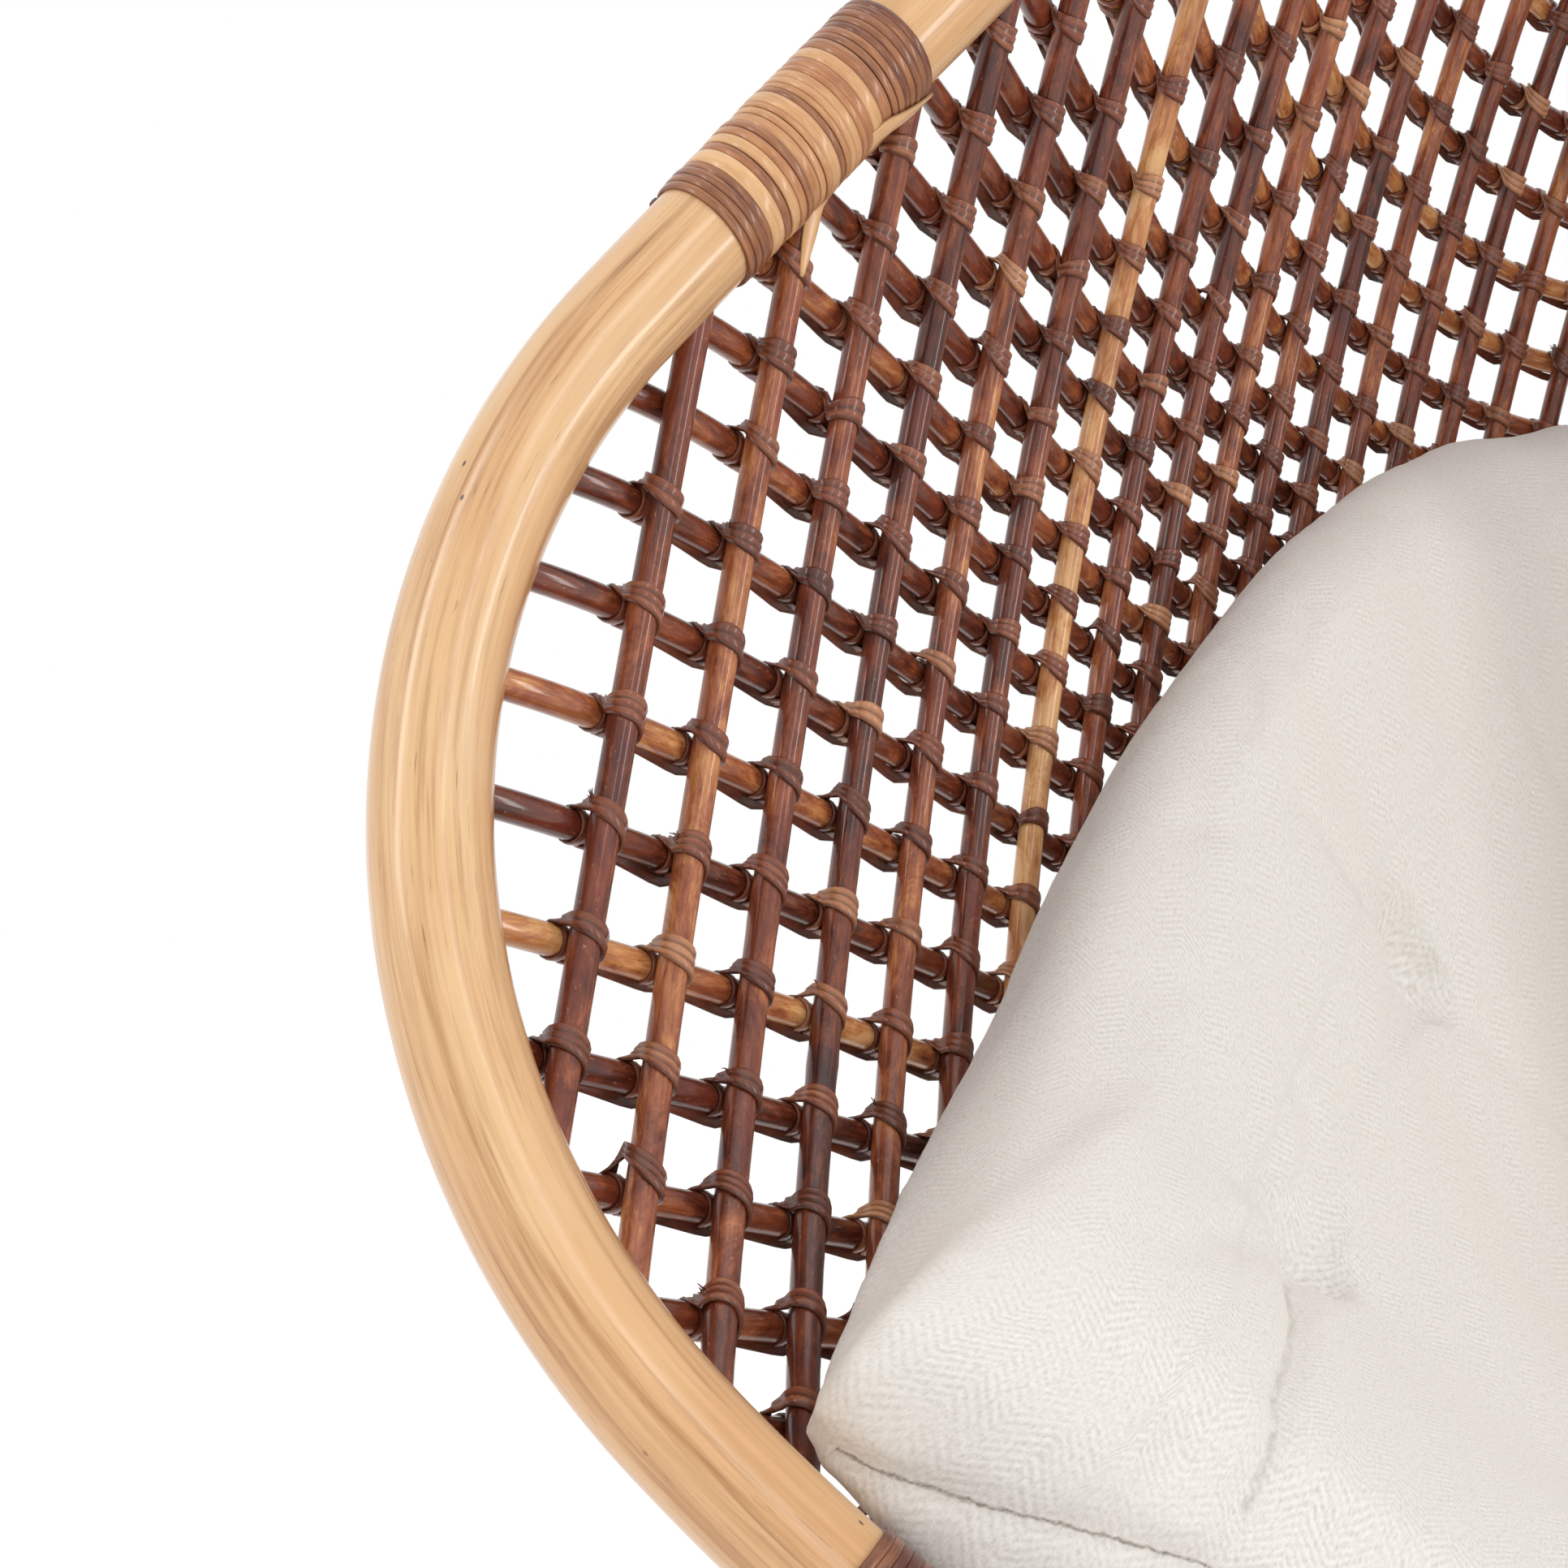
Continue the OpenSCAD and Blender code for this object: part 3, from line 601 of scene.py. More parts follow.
def tongue(shape, u, tone):
    """Tapered end of a light strip, which leaves the lashing and lies along a rib's end."""
    side = 1 if u > 0 else -1
    end = rim_length(u)
    if abs(end - UP_AT) > TONGUE_REACH:
        return
    centre, out = rim_at(side * (end + np.linspace(34, 4, RIM_PART)))
    a = np.linspace(0.25, -0.35, RIM_PART)[:, None]
    radial = -np.cos(a) * out + np.sin(a) * DEEP
    on_rim = centre + radial * (POLE_R + 2.1)
    rib = d, c, _, r = rib_at(np.array(u))
    t = math.atan2(c, r - d) - np.linspace(26, 54, RIB_PART) / r
    skin = unit(stack(-0.55 * side + 0 * t, -np.cos(t), -np.sin(t)))
    path = np.concatenate([on_rim, on_rib(u, t, rib) + (ROD_R + 0.5) * skin])
    grow = np.concatenate([np.linspace(0.5, 1, RIM_PART), [0.95, 0.92, 0.85, 0.72, 0.52, 0.2]])
    fine = np.linspace(0, len(path) - 1, 34)
    path, normal = resample(path, fine), unit(resample(np.concatenate([radial, skin]), fine))
    for _ in range(3):
        path[1:-1] = (path[:-2] + path[2:] + 2 * path[1:-1]) / 4
    grow = np.interp(fine, np.arange(len(grow)), grow)
    shape.sweep(path, normal, strip(7.0, 0.9), tone, np.stack([0 * grow + 1, grow], -1))


def tan_turns(room):
    """Widths and tones of the light turns: a broad one first, then mixed."""
    widths, tones = [6.5], [0.86]
    while sum(widths) < room:
        widths.append(float(rng.choice([2.6, 3.0, 3.6, 4.4, 5.2])))
        tone = rng.choice([0.78, 0.62, 0.5, 0.42]) + rng.normal(0, 0.05)
        tones.append(float(np.clip(tone - 0.12 * sum(widths) / room, 0.25, 0.9)))
    return widths, tones


def dark_turns(n):
    return [float(x) for x in rng.normal(0.2, 0.06, n)]


for side, word in ((-1, "left"), (1, "right")):
    widths, tones = tan_turns(LIGHT_ROOM)
    tones = dark_turns(5) + tones + dark_turns(7)
    shape = lashing(side * UP_AT, [3.3] * 5 + widths + [3.1] * 7, tones)
    for k in range(1, RIBS_SIDE):
        tongue(shape, side * k * RIB_PITCH, 0.8 + rng.normal(0, 0.05))
    name = "lashing_up_" + word
    shape.make(name, BAND, "chair", "peel", name)
    shape = lashing(side * LOW_SPLICE, [3.4] * 30, [x - 0.14 for x in dark_turns(30)])
    name = "lashing_low_" + word
    shape.make(name, BAND, "chair", "peel", name)

# ---------------- ribs and hoops
# Shades of the rods, 0 near black, 0.5 red brown, 1 pale caramel: ribs from the left, hoops by number
OTHER_TONES = [0.2, 0.34, 0.42, 0.5, 0.75]
RIB_TONES = [0.36, 0.56, 0.38, 0.27, 0.45, 0.3, 0.85, 0.42, 0.36, 0.5, 0.4, 0.3, 0.55, 0.4, 0.35, 0.5]
HOOP_TONES = {29: 0.7, 28: 0.78, 27: 0.45, 26: 0.6, 25: 0.4, 24: 0.3, 23: 0.42, 22: 0.32, 21: 0.3, 20: 0.55,
              19: 0.32, 18: 0.32, 17: 0.34, 16: 0.3, 15: 0.6, 14: 0.3, 13: 0.7, 12: 0.3, 11: 0.3}
ROD_STEP = 6
KNOT_SWELL, KNOT_LENGTH = 0.045, 4.0
END_EASE = 60


def rod(shape, path, normal, tone):
    """A rod with swollen knots, whose line drifts a little except near its ends."""
    n = len(path)
    step = np.linalg.norm(path[1] - path[0])
    size = 1 + wander(n, step, 0.018)
    along = np.arange(n) * step
    for at in np.cumsum(rng.uniform(170, 330, 8)):
        size += KNOT_SWELL * np.exp(-((along - at) / KNOT_LENGTH) ** 2)
    drift = wander(n, step, 0.35)
    ease = np.minimum(1, np.minimum(np.arange(n), np.arange(n)[::-1]) * step / END_EASE)
    shape.sweep(path + normal * (drift * ease)[:, None] * 0.3, normal, circle(ROD_R, 14), tone, size)


for k in range(RIBS_SIDE + 1):
    shape = Shape()
    for side in ((-1, 1) if k else (1,)):
        u = side * k * RIB_PITCH
        rib = d, c, _, r = rib_at(np.array(u))
        reach = math.atan2(c, r - d) - ROD_IN / r
        t = np.linspace(-reach, reach, int(2 * reach * r / ROD_STEP))
        tone = RIB_TONES[RIBS_SIDE - k] if side < 0 else float(rng.choice(OTHER_TONES))
        rod(shape, on_rib(u, t, rib), stack(0 * t, np.cos(t), np.sin(t)), tone)
    name = "rib_%02d" % k
    shape.make(name + "_rods", RODS, "chair", "rod", name)

for pair in range(1, HOOPS // 2 + 1):
    shape = Shape()
    for n in (2 * pair - 1, 2 * pair):
        end, v, t = hoop_facts(n)
        fine = np.linspace(-end, end, 700)
        p = hoop_point(v, t, fine)
        length = np.concatenate([[0], np.cumsum(np.linalg.norm(np.diff(p, axis=0), axis=1))])
        u = np.interp(np.linspace(0, length[-1], max(12, int(length[-1] / ROD_STEP))), length, fine)
        p = hoop_point(v, t, u)
        normal = outward(p[:, 0], p[:, 2])
        tone = HOOP_TONES.get(n, float(rng.choice(OTHER_TONES)))
        rod(shape, p + HOOP_OFF * normal, normal, tone)
    name = "hoops_%02d" % pair
    shape.make(name + "_rods", RODS, "chair", "rod", name)


# ---------------- ties at the crossings
TIE_DISC_R = 12.2
TIE_ROOM = POLE_R + PEEL_T + TIE_DISC_R + 0.5


def rim_gap(p):
    x = abs(p[0])
    best = 1e9
    for r, cu, cv, start, end, _ in BENDS:
        f = math.degrees(math.atan2(x - cu, cv - p[2]))
        if start <= f <= end:
            best = min(best, abs(math.hypot(x - cu, p[2] - cv) - r))
    return math.hypot(best, p[1])


def band(width, thick, laps):
    """Cross-section of flat turns side by side, each lapped on the next."""
    w, p = width / 2, width / laps
    points = [[-0.4 * thick, -w], [0.4 * thick, -w]]
    for i in range(laps):
        x = -w + i * p
        points += [[0.85 * thick, x + 0.08 * p], [thick, x + 0.3 * p], [0.55 * thick, x + 0.96 * p]]
    return np.array(points + [[-0.4 * thick, w]])


# Angles of the band's samples round the rib's inside, the hoop's outside and the whole hoop
WRAP = 112
FRONT_A = np.radians(np.linspace(-WRAP, WRAP, 13))
BACK_A = np.radians(np.linspace(-WRAP, WRAP, 9))
RING_A = np.linspace(0, 2 * math.pi, 16, endpoint=False)
TIE_T, TURN_T, RUNNER_T = 1.0, 0.75, 0.7
SKIN = 0.25
FRAY_SHARE = 0.22


def add_wrap(shape, p, out, along, up, axis, tone):
    """A flat band on the slant over the rib's inside and back over the hoop's outside.

    Returns the point at its start where it may fray.
    """
    f, b = FRONT_A[:, None], BACK_A[:, None]
    # the slant over the rib and over the hoop, in mm a radian
    fall, run = rng.uniform(1.3, 2.5), rng.uniform(1.8, 2.6)
    low_lift, high_lift = rng.uniform(0.7, 1.4), rng.uniform(0.4, 1.2)
    lift = 0.35 + low_lift * np.clip((f - 0.5) / 1.1, 0, 1) + high_lift * np.clip((-f - 0.5) / 1.0, 0, 1)
    turn = rng.normal(0, 0.1)
    away = unit(out - (out @ axis) * axis)
    across_rib = np.cross(axis, away) * np.sign(np.cross(axis, away) @ along)
    f_dir = -np.cos(f) * away + np.sin(f) * across_rib
    front = p + (ROD_R + lift) * f_dir - (fall * f + turn * ROD_R * f ** 2) * axis
    b_dir = np.cos(b) * out + np.sin(b) * up
    back = p + HOOP_OFF * out + (ROD_R + SKIN) * b_dir - run * b * along
    low, high = (front[-1] + back[0]) / 2, (back[-1] + front[0]) / 2
    low_dir, high_dir = unit(along - up), unit(up - along)
    path = np.concatenate([front, [low + 0.3 * low_dir], back, [high + 0.3 * high_dir]])
    normal = np.concatenate([f_dir, [low_dir], b_dir, [high_dir]])
    corner = [-unit(up + along)]
    across = np.concatenate([np.tile(-axis, (len(f), 1)), corner, np.tile(-along, (len(b), 1)), corner])
    front_taper = 0.62 + 0.38 * np.clip((FRONT_A + 1.96) / 1.2, 0, 1)
    taper = np.concatenate([front_taper, [0.7], np.full(len(b), 0.66), [0.52]])
    laps = 3 if rng.random() < 0.6 else 2
    lap = rng.uniform(2.8, 3.3) if laps == 3 else rng.uniform(3.6, 4.4)
    scale = np.stack([np.ones(len(path)), taper], -1)
    shape.sweep(path, normal, band(laps * lap, TIE_T, laps), tone, scale, closed=True, across=across)
    return front[1] + 0.5 * f_dir[1] + 1.5 * up


def add_turn(shape, p, out, along, up, tone):
    """A turn round the hoop at the rib's side, which holds the strand's end."""
    a = RING_A[:, None]
    ring = np.cos(a) * out + np.sin(a) * up
    side = -1 if rng.random() < 0.93 else 1
    centre = p + HOOP_OFF * out + side * (ROD_R - 2.1 + rng.uniform(0, 0.9)) * along
    slip = side * np.sin(a + 0.4 + rng.uniform(0, 0.5)) * along
    profile = strip(rng.uniform(3.0, 3.8), TURN_T)
    tone += rng.normal(-0.06, 0.08)
    shape.sweep(centre + ring * (ROD_R + SKIN) + slip, ring, profile, tone, closed=True)


def add_frays(shape, start, out, along, up):
    """A few broken fibres that stand off the band's end."""
    t = np.linspace(0, 1, 4)[:, None]
    for _ in range(int(rng.integers(4, 8))):
        way = unit(rng.normal(0.6, 0.5) * up - rng.uniform(0.1, 1.0) * along + rng.normal(0, 0.3) * out)
        base = start + rng.normal(0, 0.8) * up + rng.normal(0, 0.5) * along
        length, bend = rng.uniform(0.8, 2.6), rng.normal(0, 0.9)
        path = base + way * t * length + unit(np.cross(way, out)) * (t ** 2) * bend
        tone = 0.3 + 0.4 * rng.random()
        shape.sweep(path, np.tile(out, (4, 1)), strip(0.5, 0.4), tone, np.linspace(1, 0.4, 4))


def add_runner(shape, p0, p1, v, t, tone):
    """Strand carried along the hoop's underside from one tie to the next, where it drops behind the rib; its
    near-black tone is painted shade.
    """
    f = np.concatenate([np.linspace(0.12, 1.0, 8), [1.08, 1.16, 1.26]])
    u = p0[0] + (p1[0] - p0[0]) * f
    p = hoop_point(v, t, u)
    out = outward(p[:, 0], p[:, 2])
    along = unit(np.gradient(p, axis=0))
    up = unit(np.cross(along, out))
    up = np.where(up[:, 2:] < 0, -up, up)
    drop = rng.uniform(1.8, 4.0) * np.minimum(((f - 0.12) / 0.8) ** 1.1, 1 - 3.4 * np.clip(f - 1, 0, 1))
    wide = rng.uniform(3.6, 4.6)
    path = p + (HOOP_OFF + 1.2) * out - up * (ROD_R - wide * 0.35 + drop)[:, None]
    shape.sweep(path, unit(-out - 0.35 * up), strip(wide, RUNNER_T), tone)


TIE_TONES, TIE_SHARES = [0.3, 0.42, 0.5, 0.58, 0.85], [0.22, 0.3, 0.25, 0.15, 0.08]
quarters = {}
for n in range(1, HOOPS + 1):
    end, v, t = hoop_facts(n)
    last = None
    for k in range(-RIBS_SIDE, RIBS_SIDE + 1):
        u = k * RIB_PITCH
        if abs(u) >= end:
            last = None
            continue
        p = hoop_point(v, t, np.array(float(u)))
        out = outward(p[0], p[2])
        if rim_gap(p + out * HOOP_OFF / 2) <= TIE_ROOM:
            last = None
            continue
        word = "ties_%s_%s" % ("high" if n > SPLIT_HOOP else "low", "right" if k > 0 else "left")
        shape = quarters.setdefault(word, Shape())
        along = unit(hoop_point(v, t, np.array(u + 1.0)) - hoop_point(v, t, np.array(u - 1.0)))
        up = unit(np.cross(along, out))
        tone = float(rng.choice(TIE_TONES, p=TIE_SHARES) + rng.normal(0, 0.05))
        d, _, m, r = rib_at(np.array(float(u)))
        lean = math.atan2(p[2] - m, p[1] - (d - r))
        axis = np.array([0.0, -math.sin(lean), math.cos(lean)])
        fray_at = add_wrap(shape, p, out, along, up, axis, tone)
        add_turn(shape, p, out, along, up, tone)
        if rng.random() < FRAY_SHARE:
            add_frays(shape, fray_at, out, along, up)
        if last is not None:
            # The runner's near-black tone is painted shade, for its place in the shadow under and behind the
            # hoop
            add_runner(shape, last, p, v, t, 0.05 + 0.2 * rng.random())
        last = p
for word, shape in sorted(quarters.items()):
    shape.make(word + "_peel", TIES, "chair", "peel", word)


# ---------------- seat pad
PAD_T, PAD_HALF, PAD_L, PAD_LIFT = 112.0, 393.0, 1085.0, 6.55
PAD_FRONT, PAD_FRONT_T, PAD_RISE = 19.4, 60.0, 170.0
PAD_POWER, PAD_TAPER, PAD_MID = 1.34, 0.645, 0.42


def nose(x, p=3.0):
    return np.maximum(0, 1 - np.abs(np.clip(x, 0, 1)) ** p) ** (1 / p)


def spow(x, p):
    return np.sign(x) * np.abs(x) ** p


def pad_width(s):
    return PAD_HALF * np.maximum(0, 1 - (np.clip(s, 0, PAD_L) / PAD_L) ** PAD_POWER) ** PAD_TAPER


def pad_height(s):
    return PAD_FRONT_T + (PAD_T - PAD_FRONT_T) * nose(1 - (s - PAD_FRONT) / PAD_RISE, 2)


def basket_point(u, s, h):
    """Point h mm inside the basket's surface, s mm along it from the lower rim."""
    rib = d, c, _, r = rib_at(u)
    p = on_rib(u, s / r - np.arctan2(c, r - d), rib)
    return p - h[..., None] * outward(p[..., 0], p[..., 2])


def pad_grid(slack, stations=110, loop=128):
    """Rings of the pad's sewn shape; its top starts slack mm low, for the filling to raise it."""
    f = np.linspace(0, 1, stations)
    eased = (1 - np.cos(math.pi * f)) / 2
    front, end = PAD_FRONT - 1.5, PAD_L
    s = front + 0.6 + (end - front - 1.2) * (0.35 * f + 0.65 * eased)
    grow = np.minimum(nose(1 - (s - front) / 7, 2.5), nose(1 - (end - s) / 60))
    tall, half = pad_height(s), np.maximum(4, pad_width(s) + 1)
    s, grow, tall, half = (q[:, None] for q in (s, grow, tall, half))
    low = tall * PAD_MID
    a = np.linspace(0, 2 * math.pi, loop, endpoint=False)[None]
    soft = np.minimum(1, s / 300)
    power = np.where(np.sin(a) < 0, 0.08 + 0.62 * soft, 0.42 + 0.28 * soft)
    y = spow(np.sin(a), power)
    h = low + grow * y * np.where(y > 0, tall - low - slack, low)
    x = spow(np.cos(a), power) * half * (1 + 0.05 * np.maximum(0, 1 - s / 200) * h / PAD_T)
    return basket_point(x, np.broadcast_to(s, x.shape), PAD_LIFT + h)


def tube_mesh(name, grid):
    n, k = grid.shape[:2]
    idx = np.arange(n * k).reshape(n, k)
    cur, nxt = idx[:-1], idx[1:]
    quads = np.stack([cur, np.roll(cur, -1, 1), np.roll(nxt, -1, 1), nxt], -1).reshape(-1, 4).tolist()
    mesh = bpy.data.meshes.new(name)
    faces = quads + [idx[0][::-1].tolist(), idx[-1].tolist()]
    mesh.from_pydata(to_chair(grid.reshape(-1, 3)).tolist(), [], faces)
    mesh.update()
    return mesh


def coords(mesh, what="co"):
    co = np.zeros(len(mesh.vertices) * 3, np.float32)
    mesh.vertices.foreach_get(what, co)
    return co.reshape(-1, 3).astype(float)


def set_coords(mesh, co):
    mesh.vertices.foreach_set("co", co.astype(np.float32).ravel())
    mesh.update()


def to_rim(p):
    """From the hanging chair's frame in metres to the rim's frame in mm."""
    p = np.asarray(p, float) / MM
    c, s = math.cos(LEAN), math.sin(LEAN)
    z = p[..., 2] - POLE_Z
    return stack(p[..., 0], p[..., 1] * c - z * s, p[..., 1] * s + z * c + RIM_H)


def pad_place(q):
    """(across, along, height) of points in the rim's frame, in mm on the pad."""
    u, foot = q[:, 0].copy(), q.copy()
    h = np.zeros(len(q))
    for _ in range(8):
        rib = d, _, m, r = rib_at(u)
        on = on_rib(u, np.arctan2(foot[:, 2] - m, foot[:, 1] - (d - r)), rib)
        n = outward(on[:, 0], on[:, 2])
        h = ((on - q) * n).sum(1)
        foot = q + n * h[:, None]
        u = np.clip(foot[:, 0], -HALF_W + 2, HALF_W - 2)
    d, c, m, r = rib_at(u)
    ang = np.arctan2(foot[:, 2] - m, foot[:, 1] - (d - r))
    return u, (ang + np.arctan2(c, r - d)) * r, h - PAD_LIFT


def from_line(x, y, line):
    """Distance of points from a bent line."""
    best = np.full(len(x), 1e9)
    for (x0, y0), (x1, y1) in zip(line[:-1], line[1:]):
        f = np.clip(((x - x0) * (x1 - x0) + (y - y0) * (y1 - y0)) / ((x1 - x0) ** 2 + (y1 - y0) ** 2), 0, 1)
        best = np.minimum(best, np.hypot(x - x0 - f * (x1 - x0), y - y0 - f * (y1 - y0)))
    return best


VOXEL = 0.008
PUFF = 0.007
TUFTS = [(-268, 259), (277, 262), (0, 262), (-185, 562), (185, 558), (0, 842)]
# Channels from the front tufts to the front edge
CHANNELS = [[(-268, 259), (-283, 205), (-297, 92), (-286, 8)],
            [(0, 262), (0, 205), (0, 92), (0, 10)],
            [(277, 262), (268, 205), (252, 92), (260, 10)]]
CHANNEL_DEPTH, CHANNEL_HALF = 5.0, 6.0
# Soft creases: line, depth and half width
CREASES = [([(-345, 424), (-312, 430), (-304, 446), (-265, 516), (-185, 562)], 3.2, 8),
           ([(345, 436), (300, 444), (262, 505), (185, 558)], 2.6, 9),
           ([(-268, 259), (-256, 300), (-266, 345)], 2.5, 12),
           ([(277, 262), (250, 318), (262, 350)], 2.4, 12),
           ([(-319, 40), (-310, 12)], 2.6, 6),
           ([(-290, 505), (-272, 530)], 2.5, 14),
           ([(0, 262), (12, 330), (-8, 372)], 2.2, 12),
           ([(-185, 562), (-90, 588), (-40, 578)], 2.4, 12),
           ([(185, 558), (120, 600), (70, 596)], 2.4, 12),
           ([(0, 842), (-70, 800), (-118, 806)], 2.2, 12),
           ([(0, 842), (60, 884), (110, 880)], 2.2, 12),
           ([(185, 558), (196, 640)], 1.8, 12),
           ([(-185, 562), (-170, 650)], 1.8, 12)]
# The sharp parts of three creases, along which a fine line of shade is painted on the cloth
FINE_FOLDS = [CREASES[0][0][1:4], CREASES[1][0][1:4], CREASES[4][0]]
# What the cloth solver holds round a tuft, and the depth and radius of a tuft's dimple and of its dish
TUFT_R = 26.0
TUFT_DIPS = ((10, 16.0), (5, 60.0))
PRESSURE, PUFF_FRAMES = 4.0, 20
# The seam's height on the pad's edge, and how far to the sides its painted line of shade shows
SEAM_H, SEAM_END = 10, 384
# Added to a distance where its painted shade isn't to show
FAR = 60


def make_pad():
    """The pad's sewn shape, filled by the cloth solver's pressure with the tufts and the underside held."""
    obj = bpy.data.objects.new("cushion_pad", tube_mesh("cushion_pad", pad_grid(5.0)))
    bpy.context.scene.collection.objects.link(obj)
    bpy.context.view_layer.objects.active = obj
    for o in bpy.context.selected_objects:
        o.select_set(False)
    obj.select_set(True)
    remesh = obj.modifiers.new("remesh", "REMESH")
    remesh.mode = "VOXEL"
    remesh.voxel_size = VOXEL
    bpy.ops.object.modifier_apply(modifier="remesh")
    mesh = obj.data
    start = coords(mesh)
    u, s, h = pad_place(to_rim(start))
    pull = np.zeros(len(start))
    for tu, ts in TUFTS:
        pull = np.maximum(pull, np.exp(-(((u - tu) ** 2 + (s - ts) ** 2) / TUFT_R ** 2)))
    upper = h > pad_height(s) * 0.5
    group = obj.vertex_groups.new(name="pin")
    for i in np.nonzero((pull > 0.75) & upper | (h < 5))[0]:
        group.add([int(i)], 1.0, "REPLACE")
    cloth = obj.modifiers.new("cloth", "CLOTH")
    cs = cloth.settings
    cs.use_pressure = True
    cs.uniform_pressure_force = PRESSURE
    cs.vertex_group_mass = "pin"
    cs.effector_weights.gravity = 0
    cs.quality = 4
    for f in range(1, PUFF_FRAMES + 1):
        bpy.context.scene.frame_set(f)
    dg = bpy.context.evaluated_depsgraph_get()
    moved = coords(obj.evaluated_get(dg).data)
    obj.modifiers.remove(cloth)
    delta = moved - start
    size = np.linalg.norm(delta, axis=1, keepdims=True)
    delta *= np.minimum(1, PUFF / np.maximum(size, 1e-9))
    set_coords(mesh, start + delta)
    bpy.context.scene.frame_set(1)
    return obj


def pad_sink(u, s, h):
    """How far the pad's skin is drawn in, and its distances from seam, channels and folds, along which shade
    is painted on the cloth.
    """
    top = np.clip((h - pad_height(s) + 34) / 22, 0, 1)
    sink = np.zeros(len(u))
    for tu, ts in TUFTS:
        dist = np.hypot(u - tu, s - ts)
        sink += top * sum(deep * np.exp(-(dist / wide) ** 2) for deep, wide in TUFT_DIPS)
    channel = np.minimum.reduce([from_line(u, s, line) for line in CHANNELS])
    sink += top * CHANNEL_DEPTH * np.exp(-(channel / CHANNEL_HALF) ** 2)
    for line, depth, wide in CREASES:
        near = from_line(u, s, line)
        sink += top * depth * np.exp(-(near / wide) ** 2)
    slow = np.sin(u / 47 + 1.3 * np.sin(s / 83)) * np.sin(s / 61 + 0.8 * np.sin(u / 71 + 2))
    slow = slow + 0.6 * np.sin(u / 29 + s / 37)
    sink += 1.3 * slow * np.clip(h / 30, 0, 1)
    # the seam runs higher across the front than at the corners
    x = np.abs(u)
    bow = SEAM_H + np.clip(386 - x, 0, 92) * 0.53 + np.clip(294 - x, 0, 294) * 0.024
    above = h - SEAM_H - (bow - SEAM_H) * np.clip(1 - (s - 25) / 60, 0, 1)
    sink += 2.5 * np.exp(-(above / 6.0) ** 2) * (1 - top * (s > 60))
    fine = np.minimum.reduce([from_line(u, s, line) for line in FINE_FOLDS])
    return sink, stack(above + FAR * (x > SEAM_END), channel + FAR * (1 - top), fine + FAR * (1 - top))


pad = make_pad()
smooth = pad.modifiers.new("smooth", "SUBSURF")
smooth.levels = smooth.render_levels = 1
bpy.ops.object.modifier_apply(modifier="smooth")
mesh = pad.data
co = coords(mesh)
u, s, h = pad_place(to_rim(co))
sink, shade_lines = pad_sink(u, s, h)
set_coords(mesh, co - coords(mesh, "normal") * sink[:, None] * MM)
# the threads run on below the top: down the front, outwards at the sides
drop = np.clip(pad_height(s) - h, 0, PAD_T)
in_front = np.clip(1 - (s - 22) / 30, 0, 1)
at_side = np.abs(u) > pad_width(s) - 60
cloth = stack(u + np.sign(u) * drop * (1 - in_front) * at_side, s - drop * in_front, 0 * u)
add_vectors(mesh, "cloth", cloth * MM)
add_vectors(mesh, "shade_lines", shade_lines * MM)
shade_smooth(mesh)
mesh.materials.clear()
mesh.materials.append(PAD)
place(pad, "chair", "pad", "cushion")


# ---------------- steel gear keeps its solids
for name in ("swivel_upper", "swivel_lower", "shackle", "shackle_pin", "eye_bolt", "washers", "nut"):
    NODES[name].data.materials.clear()
    NODES[name].data.materials.append(STEEL)


# ---------------- floor, light, camera
SKY, SKY_LEVEL = (1.0, 0.988, 0.978, 1), 0.74
WHITE = (1, 1, 1, 1)
FLOOR_Z, FLOOR_SIZE, FLOOR_GLOW = -1.5, 14, 0.4


def emitter(nodes, kind, colour, strength):
    node = nodes.new(kind)
    node.inputs[0].default_value = colour
    node.inputs[1].default_value = strength
    return node.outputs[0]


def split_rays(tree, seen, other):
    """A shader that is 'seen' to camera, glossy and transmission rays, and 'other' to the rest."""
    nodes, links = tree.nodes, tree.links
    rays = nodes.new("ShaderNodeLightPath").outputs
    share = rays["Is Camera Ray"]
    for word in ("Is Glossy Ray", "Is Transmission Ray"):
        most = nodes.new("ShaderNodeMath")
        most.operation = "MAXIMUM"
        links.new(share, most.inputs[0])
        links.new(rays[word], most.inputs[1])
        share = most.outputs[0]
    mix = nodes.new("ShaderNodeMixShader")
    for i, socket in enumerate((share, other, seen)):
        links.new(socket, mix.inputs[i])
    return mix.outputs[0]


world = bpy.data.worlds.new("studio")
bpy.context.scene.world = world
world.use_nodes = True
tree = world.node_tree
tree.nodes.clear()
sky = emitter(tree.nodes, "ShaderNodeBackground", SKY, SKY_LEVEL)
white = emitter(tree.nodes, "ShaderNodeBackground", WHITE, 1.0)
world_out = tree.nodes.new("ShaderNodeOutputWorld")
tree.links.new(split_rays(tree, white, sky), world_out.inputs[0])

bpy.ops.mesh.primitive_grid_add(x_subdivisions=8, y_subdivisions=8, size=FLOOR_SIZE, location=(0, 0, FLOOR_Z))
floor = bpy.context.object
floor.name = "studio_floor"
floor_mat = bpy.data.materials.new("pale_floor")
floor_mat.use_nodes = True
tree = floor_mat.node_tree
plain = tree.nodes["Principled BSDF"]
plain.inputs["Base Color"].default_value = (0.9, 0.9, 0.9, 1)
plain.inputs["Roughness"].default_value = 0.8
lit = tree.nodes.new("ShaderNodeAddShader")
tree.links.new(plain.outputs[0], lit.inputs[0])
tree.links.new(emitter(tree.nodes, "ShaderNodeEmission", WHITE, FLOOR_GLOW), lit.inputs[1])
tree.links.new(split_rays(tree, lit.outputs[0], plain.outputs[0]), tree.nodes["Material Output"].inputs[0])
floor.data.materials.append(floor_mat)


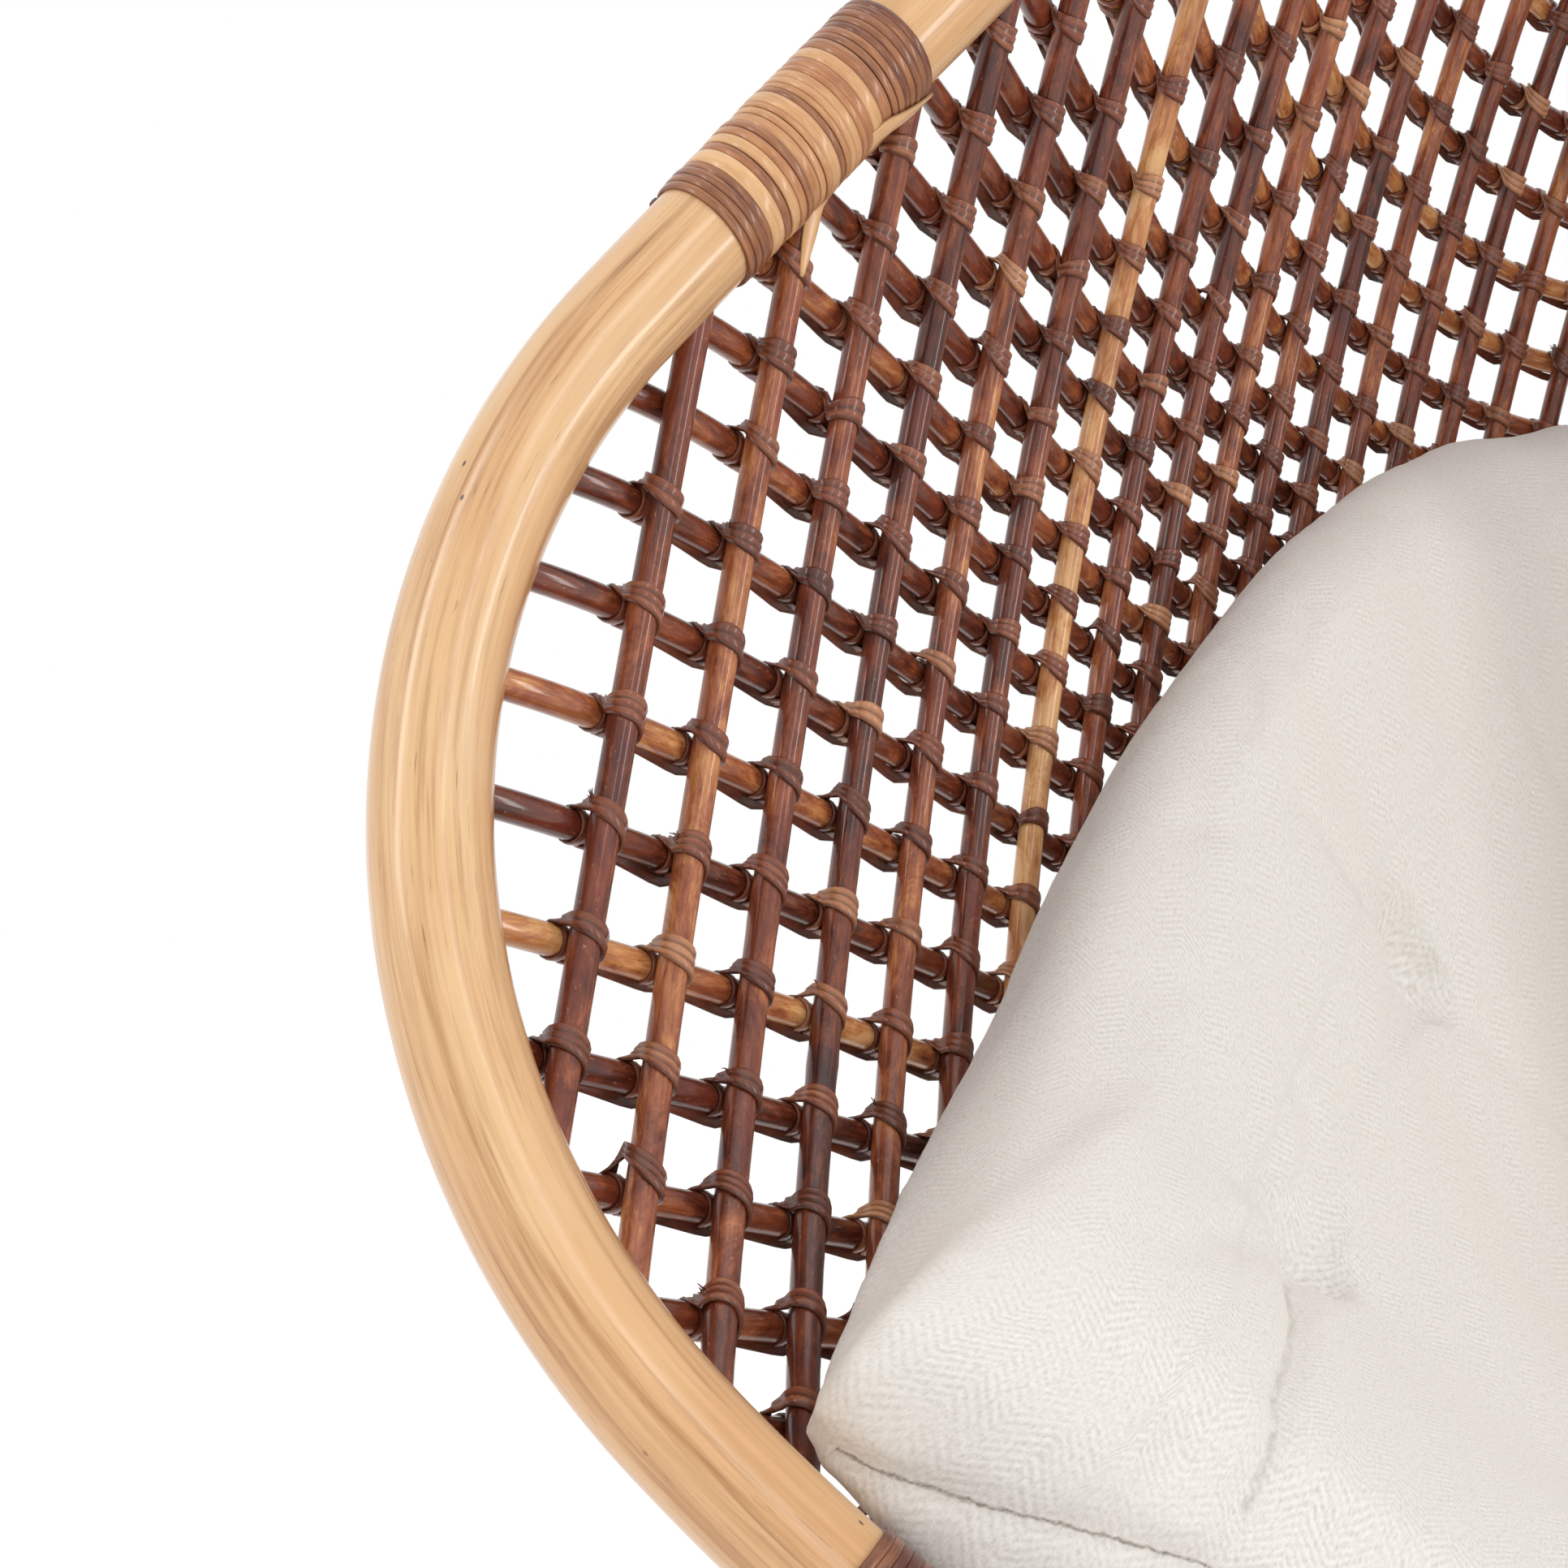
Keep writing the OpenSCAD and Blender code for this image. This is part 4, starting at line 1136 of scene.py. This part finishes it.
def lamp(name, at, aim, size, watts):
    """An area lamp at a place, turned to a point, with its width and height in metres."""
    data = bpy.data.lights.new(name, "AREA")
    data.shape = "RECTANGLE"
    data.size, data.size_y = size
    data.energy = watts
    obj = bpy.data.objects.new(name, data)
    obj.location = at
    obj.rotation_mode = "QUATERNION"
    obj.rotation_quaternion = (Vector(aim) - Vector(at)).to_track_quat("-Z", "Y")
    bpy.context.scene.collection.objects.link(obj)


lamp("key", (-2.8, -1.2, 0.5), (-0.2, 0, -0.75), (0.5, 2.2), 18)
lamp("front", (0.3, -2.5, 0.3), (-0.2, 0, -0.75), (0.4, 2.2), 9)
lamp("right", (2.4, -1.6, 0.1), (-0.1, 0.1, -0.6), (0.36, 2.0), 21)
lamp("top", (0.0, -0.2, 1.9), (0, 0, -0.8), (2.2, 2.2), 9)

# The camera in the rim's frame; focal length, width and shift in the photograph's pixels
CAM_AT = (-492.2, -763.1, 54.5)
CAM_AZ, CAM_EL, CAM_ROLL = math.radians(-5.57), math.radians(-19.92), math.radians(-8.68)
CAM_F, PHOTO, SHIFT, SENSOR = 3336.0, 1932.0, 2.0, 36.0
cos_az, sin_az, cos_el = math.cos(CAM_AZ), math.sin(CAM_AZ), math.cos(CAM_EL)
ahead = np.array([-sin_az * cos_el, cos_az * cos_el, -math.sin(CAM_EL)])
level = np.array([cos_az, sin_az, 0.0])
down = np.cross(ahead, level)
cos_roll, sin_roll = math.cos(CAM_ROLL), math.sin(CAM_ROLL)
right_dir, down_dir = cos_roll * level + sin_roll * down, -sin_roll * level + cos_roll * down


def leaned(direction):
    """A direction of the rim's frame in the hanging chair's."""
    c, s = math.cos(LEAN), math.sin(LEAN)
    u, w, v = direction
    return Vector((u, w * c + v * s, v * c - w * s))


data = bpy.data.cameras.new("camera")
data.sensor_width = SENSOR
data.lens = CAM_F * SENSOR / PHOTO
data.shift_x = SHIFT / PHOTO
data.clip_start, data.clip_end = 0.05, 60.0
camera = bpy.data.objects.new("camera", data)
axes = [leaned(right_dir), -leaned(down_dir), -leaned(ahead)]
pose = Matrix([[axes[j][i] for j in range(3)] for i in range(3)]).to_4x4()
pose.translation = Vector(to_chair(np.array(CAM_AT)))
camera.matrix_world = pose
bpy.context.scene.collection.objects.link(camera)
bpy.context.scene.camera = camera
bpy.context.scene.view_settings.view_transform = "Standard"
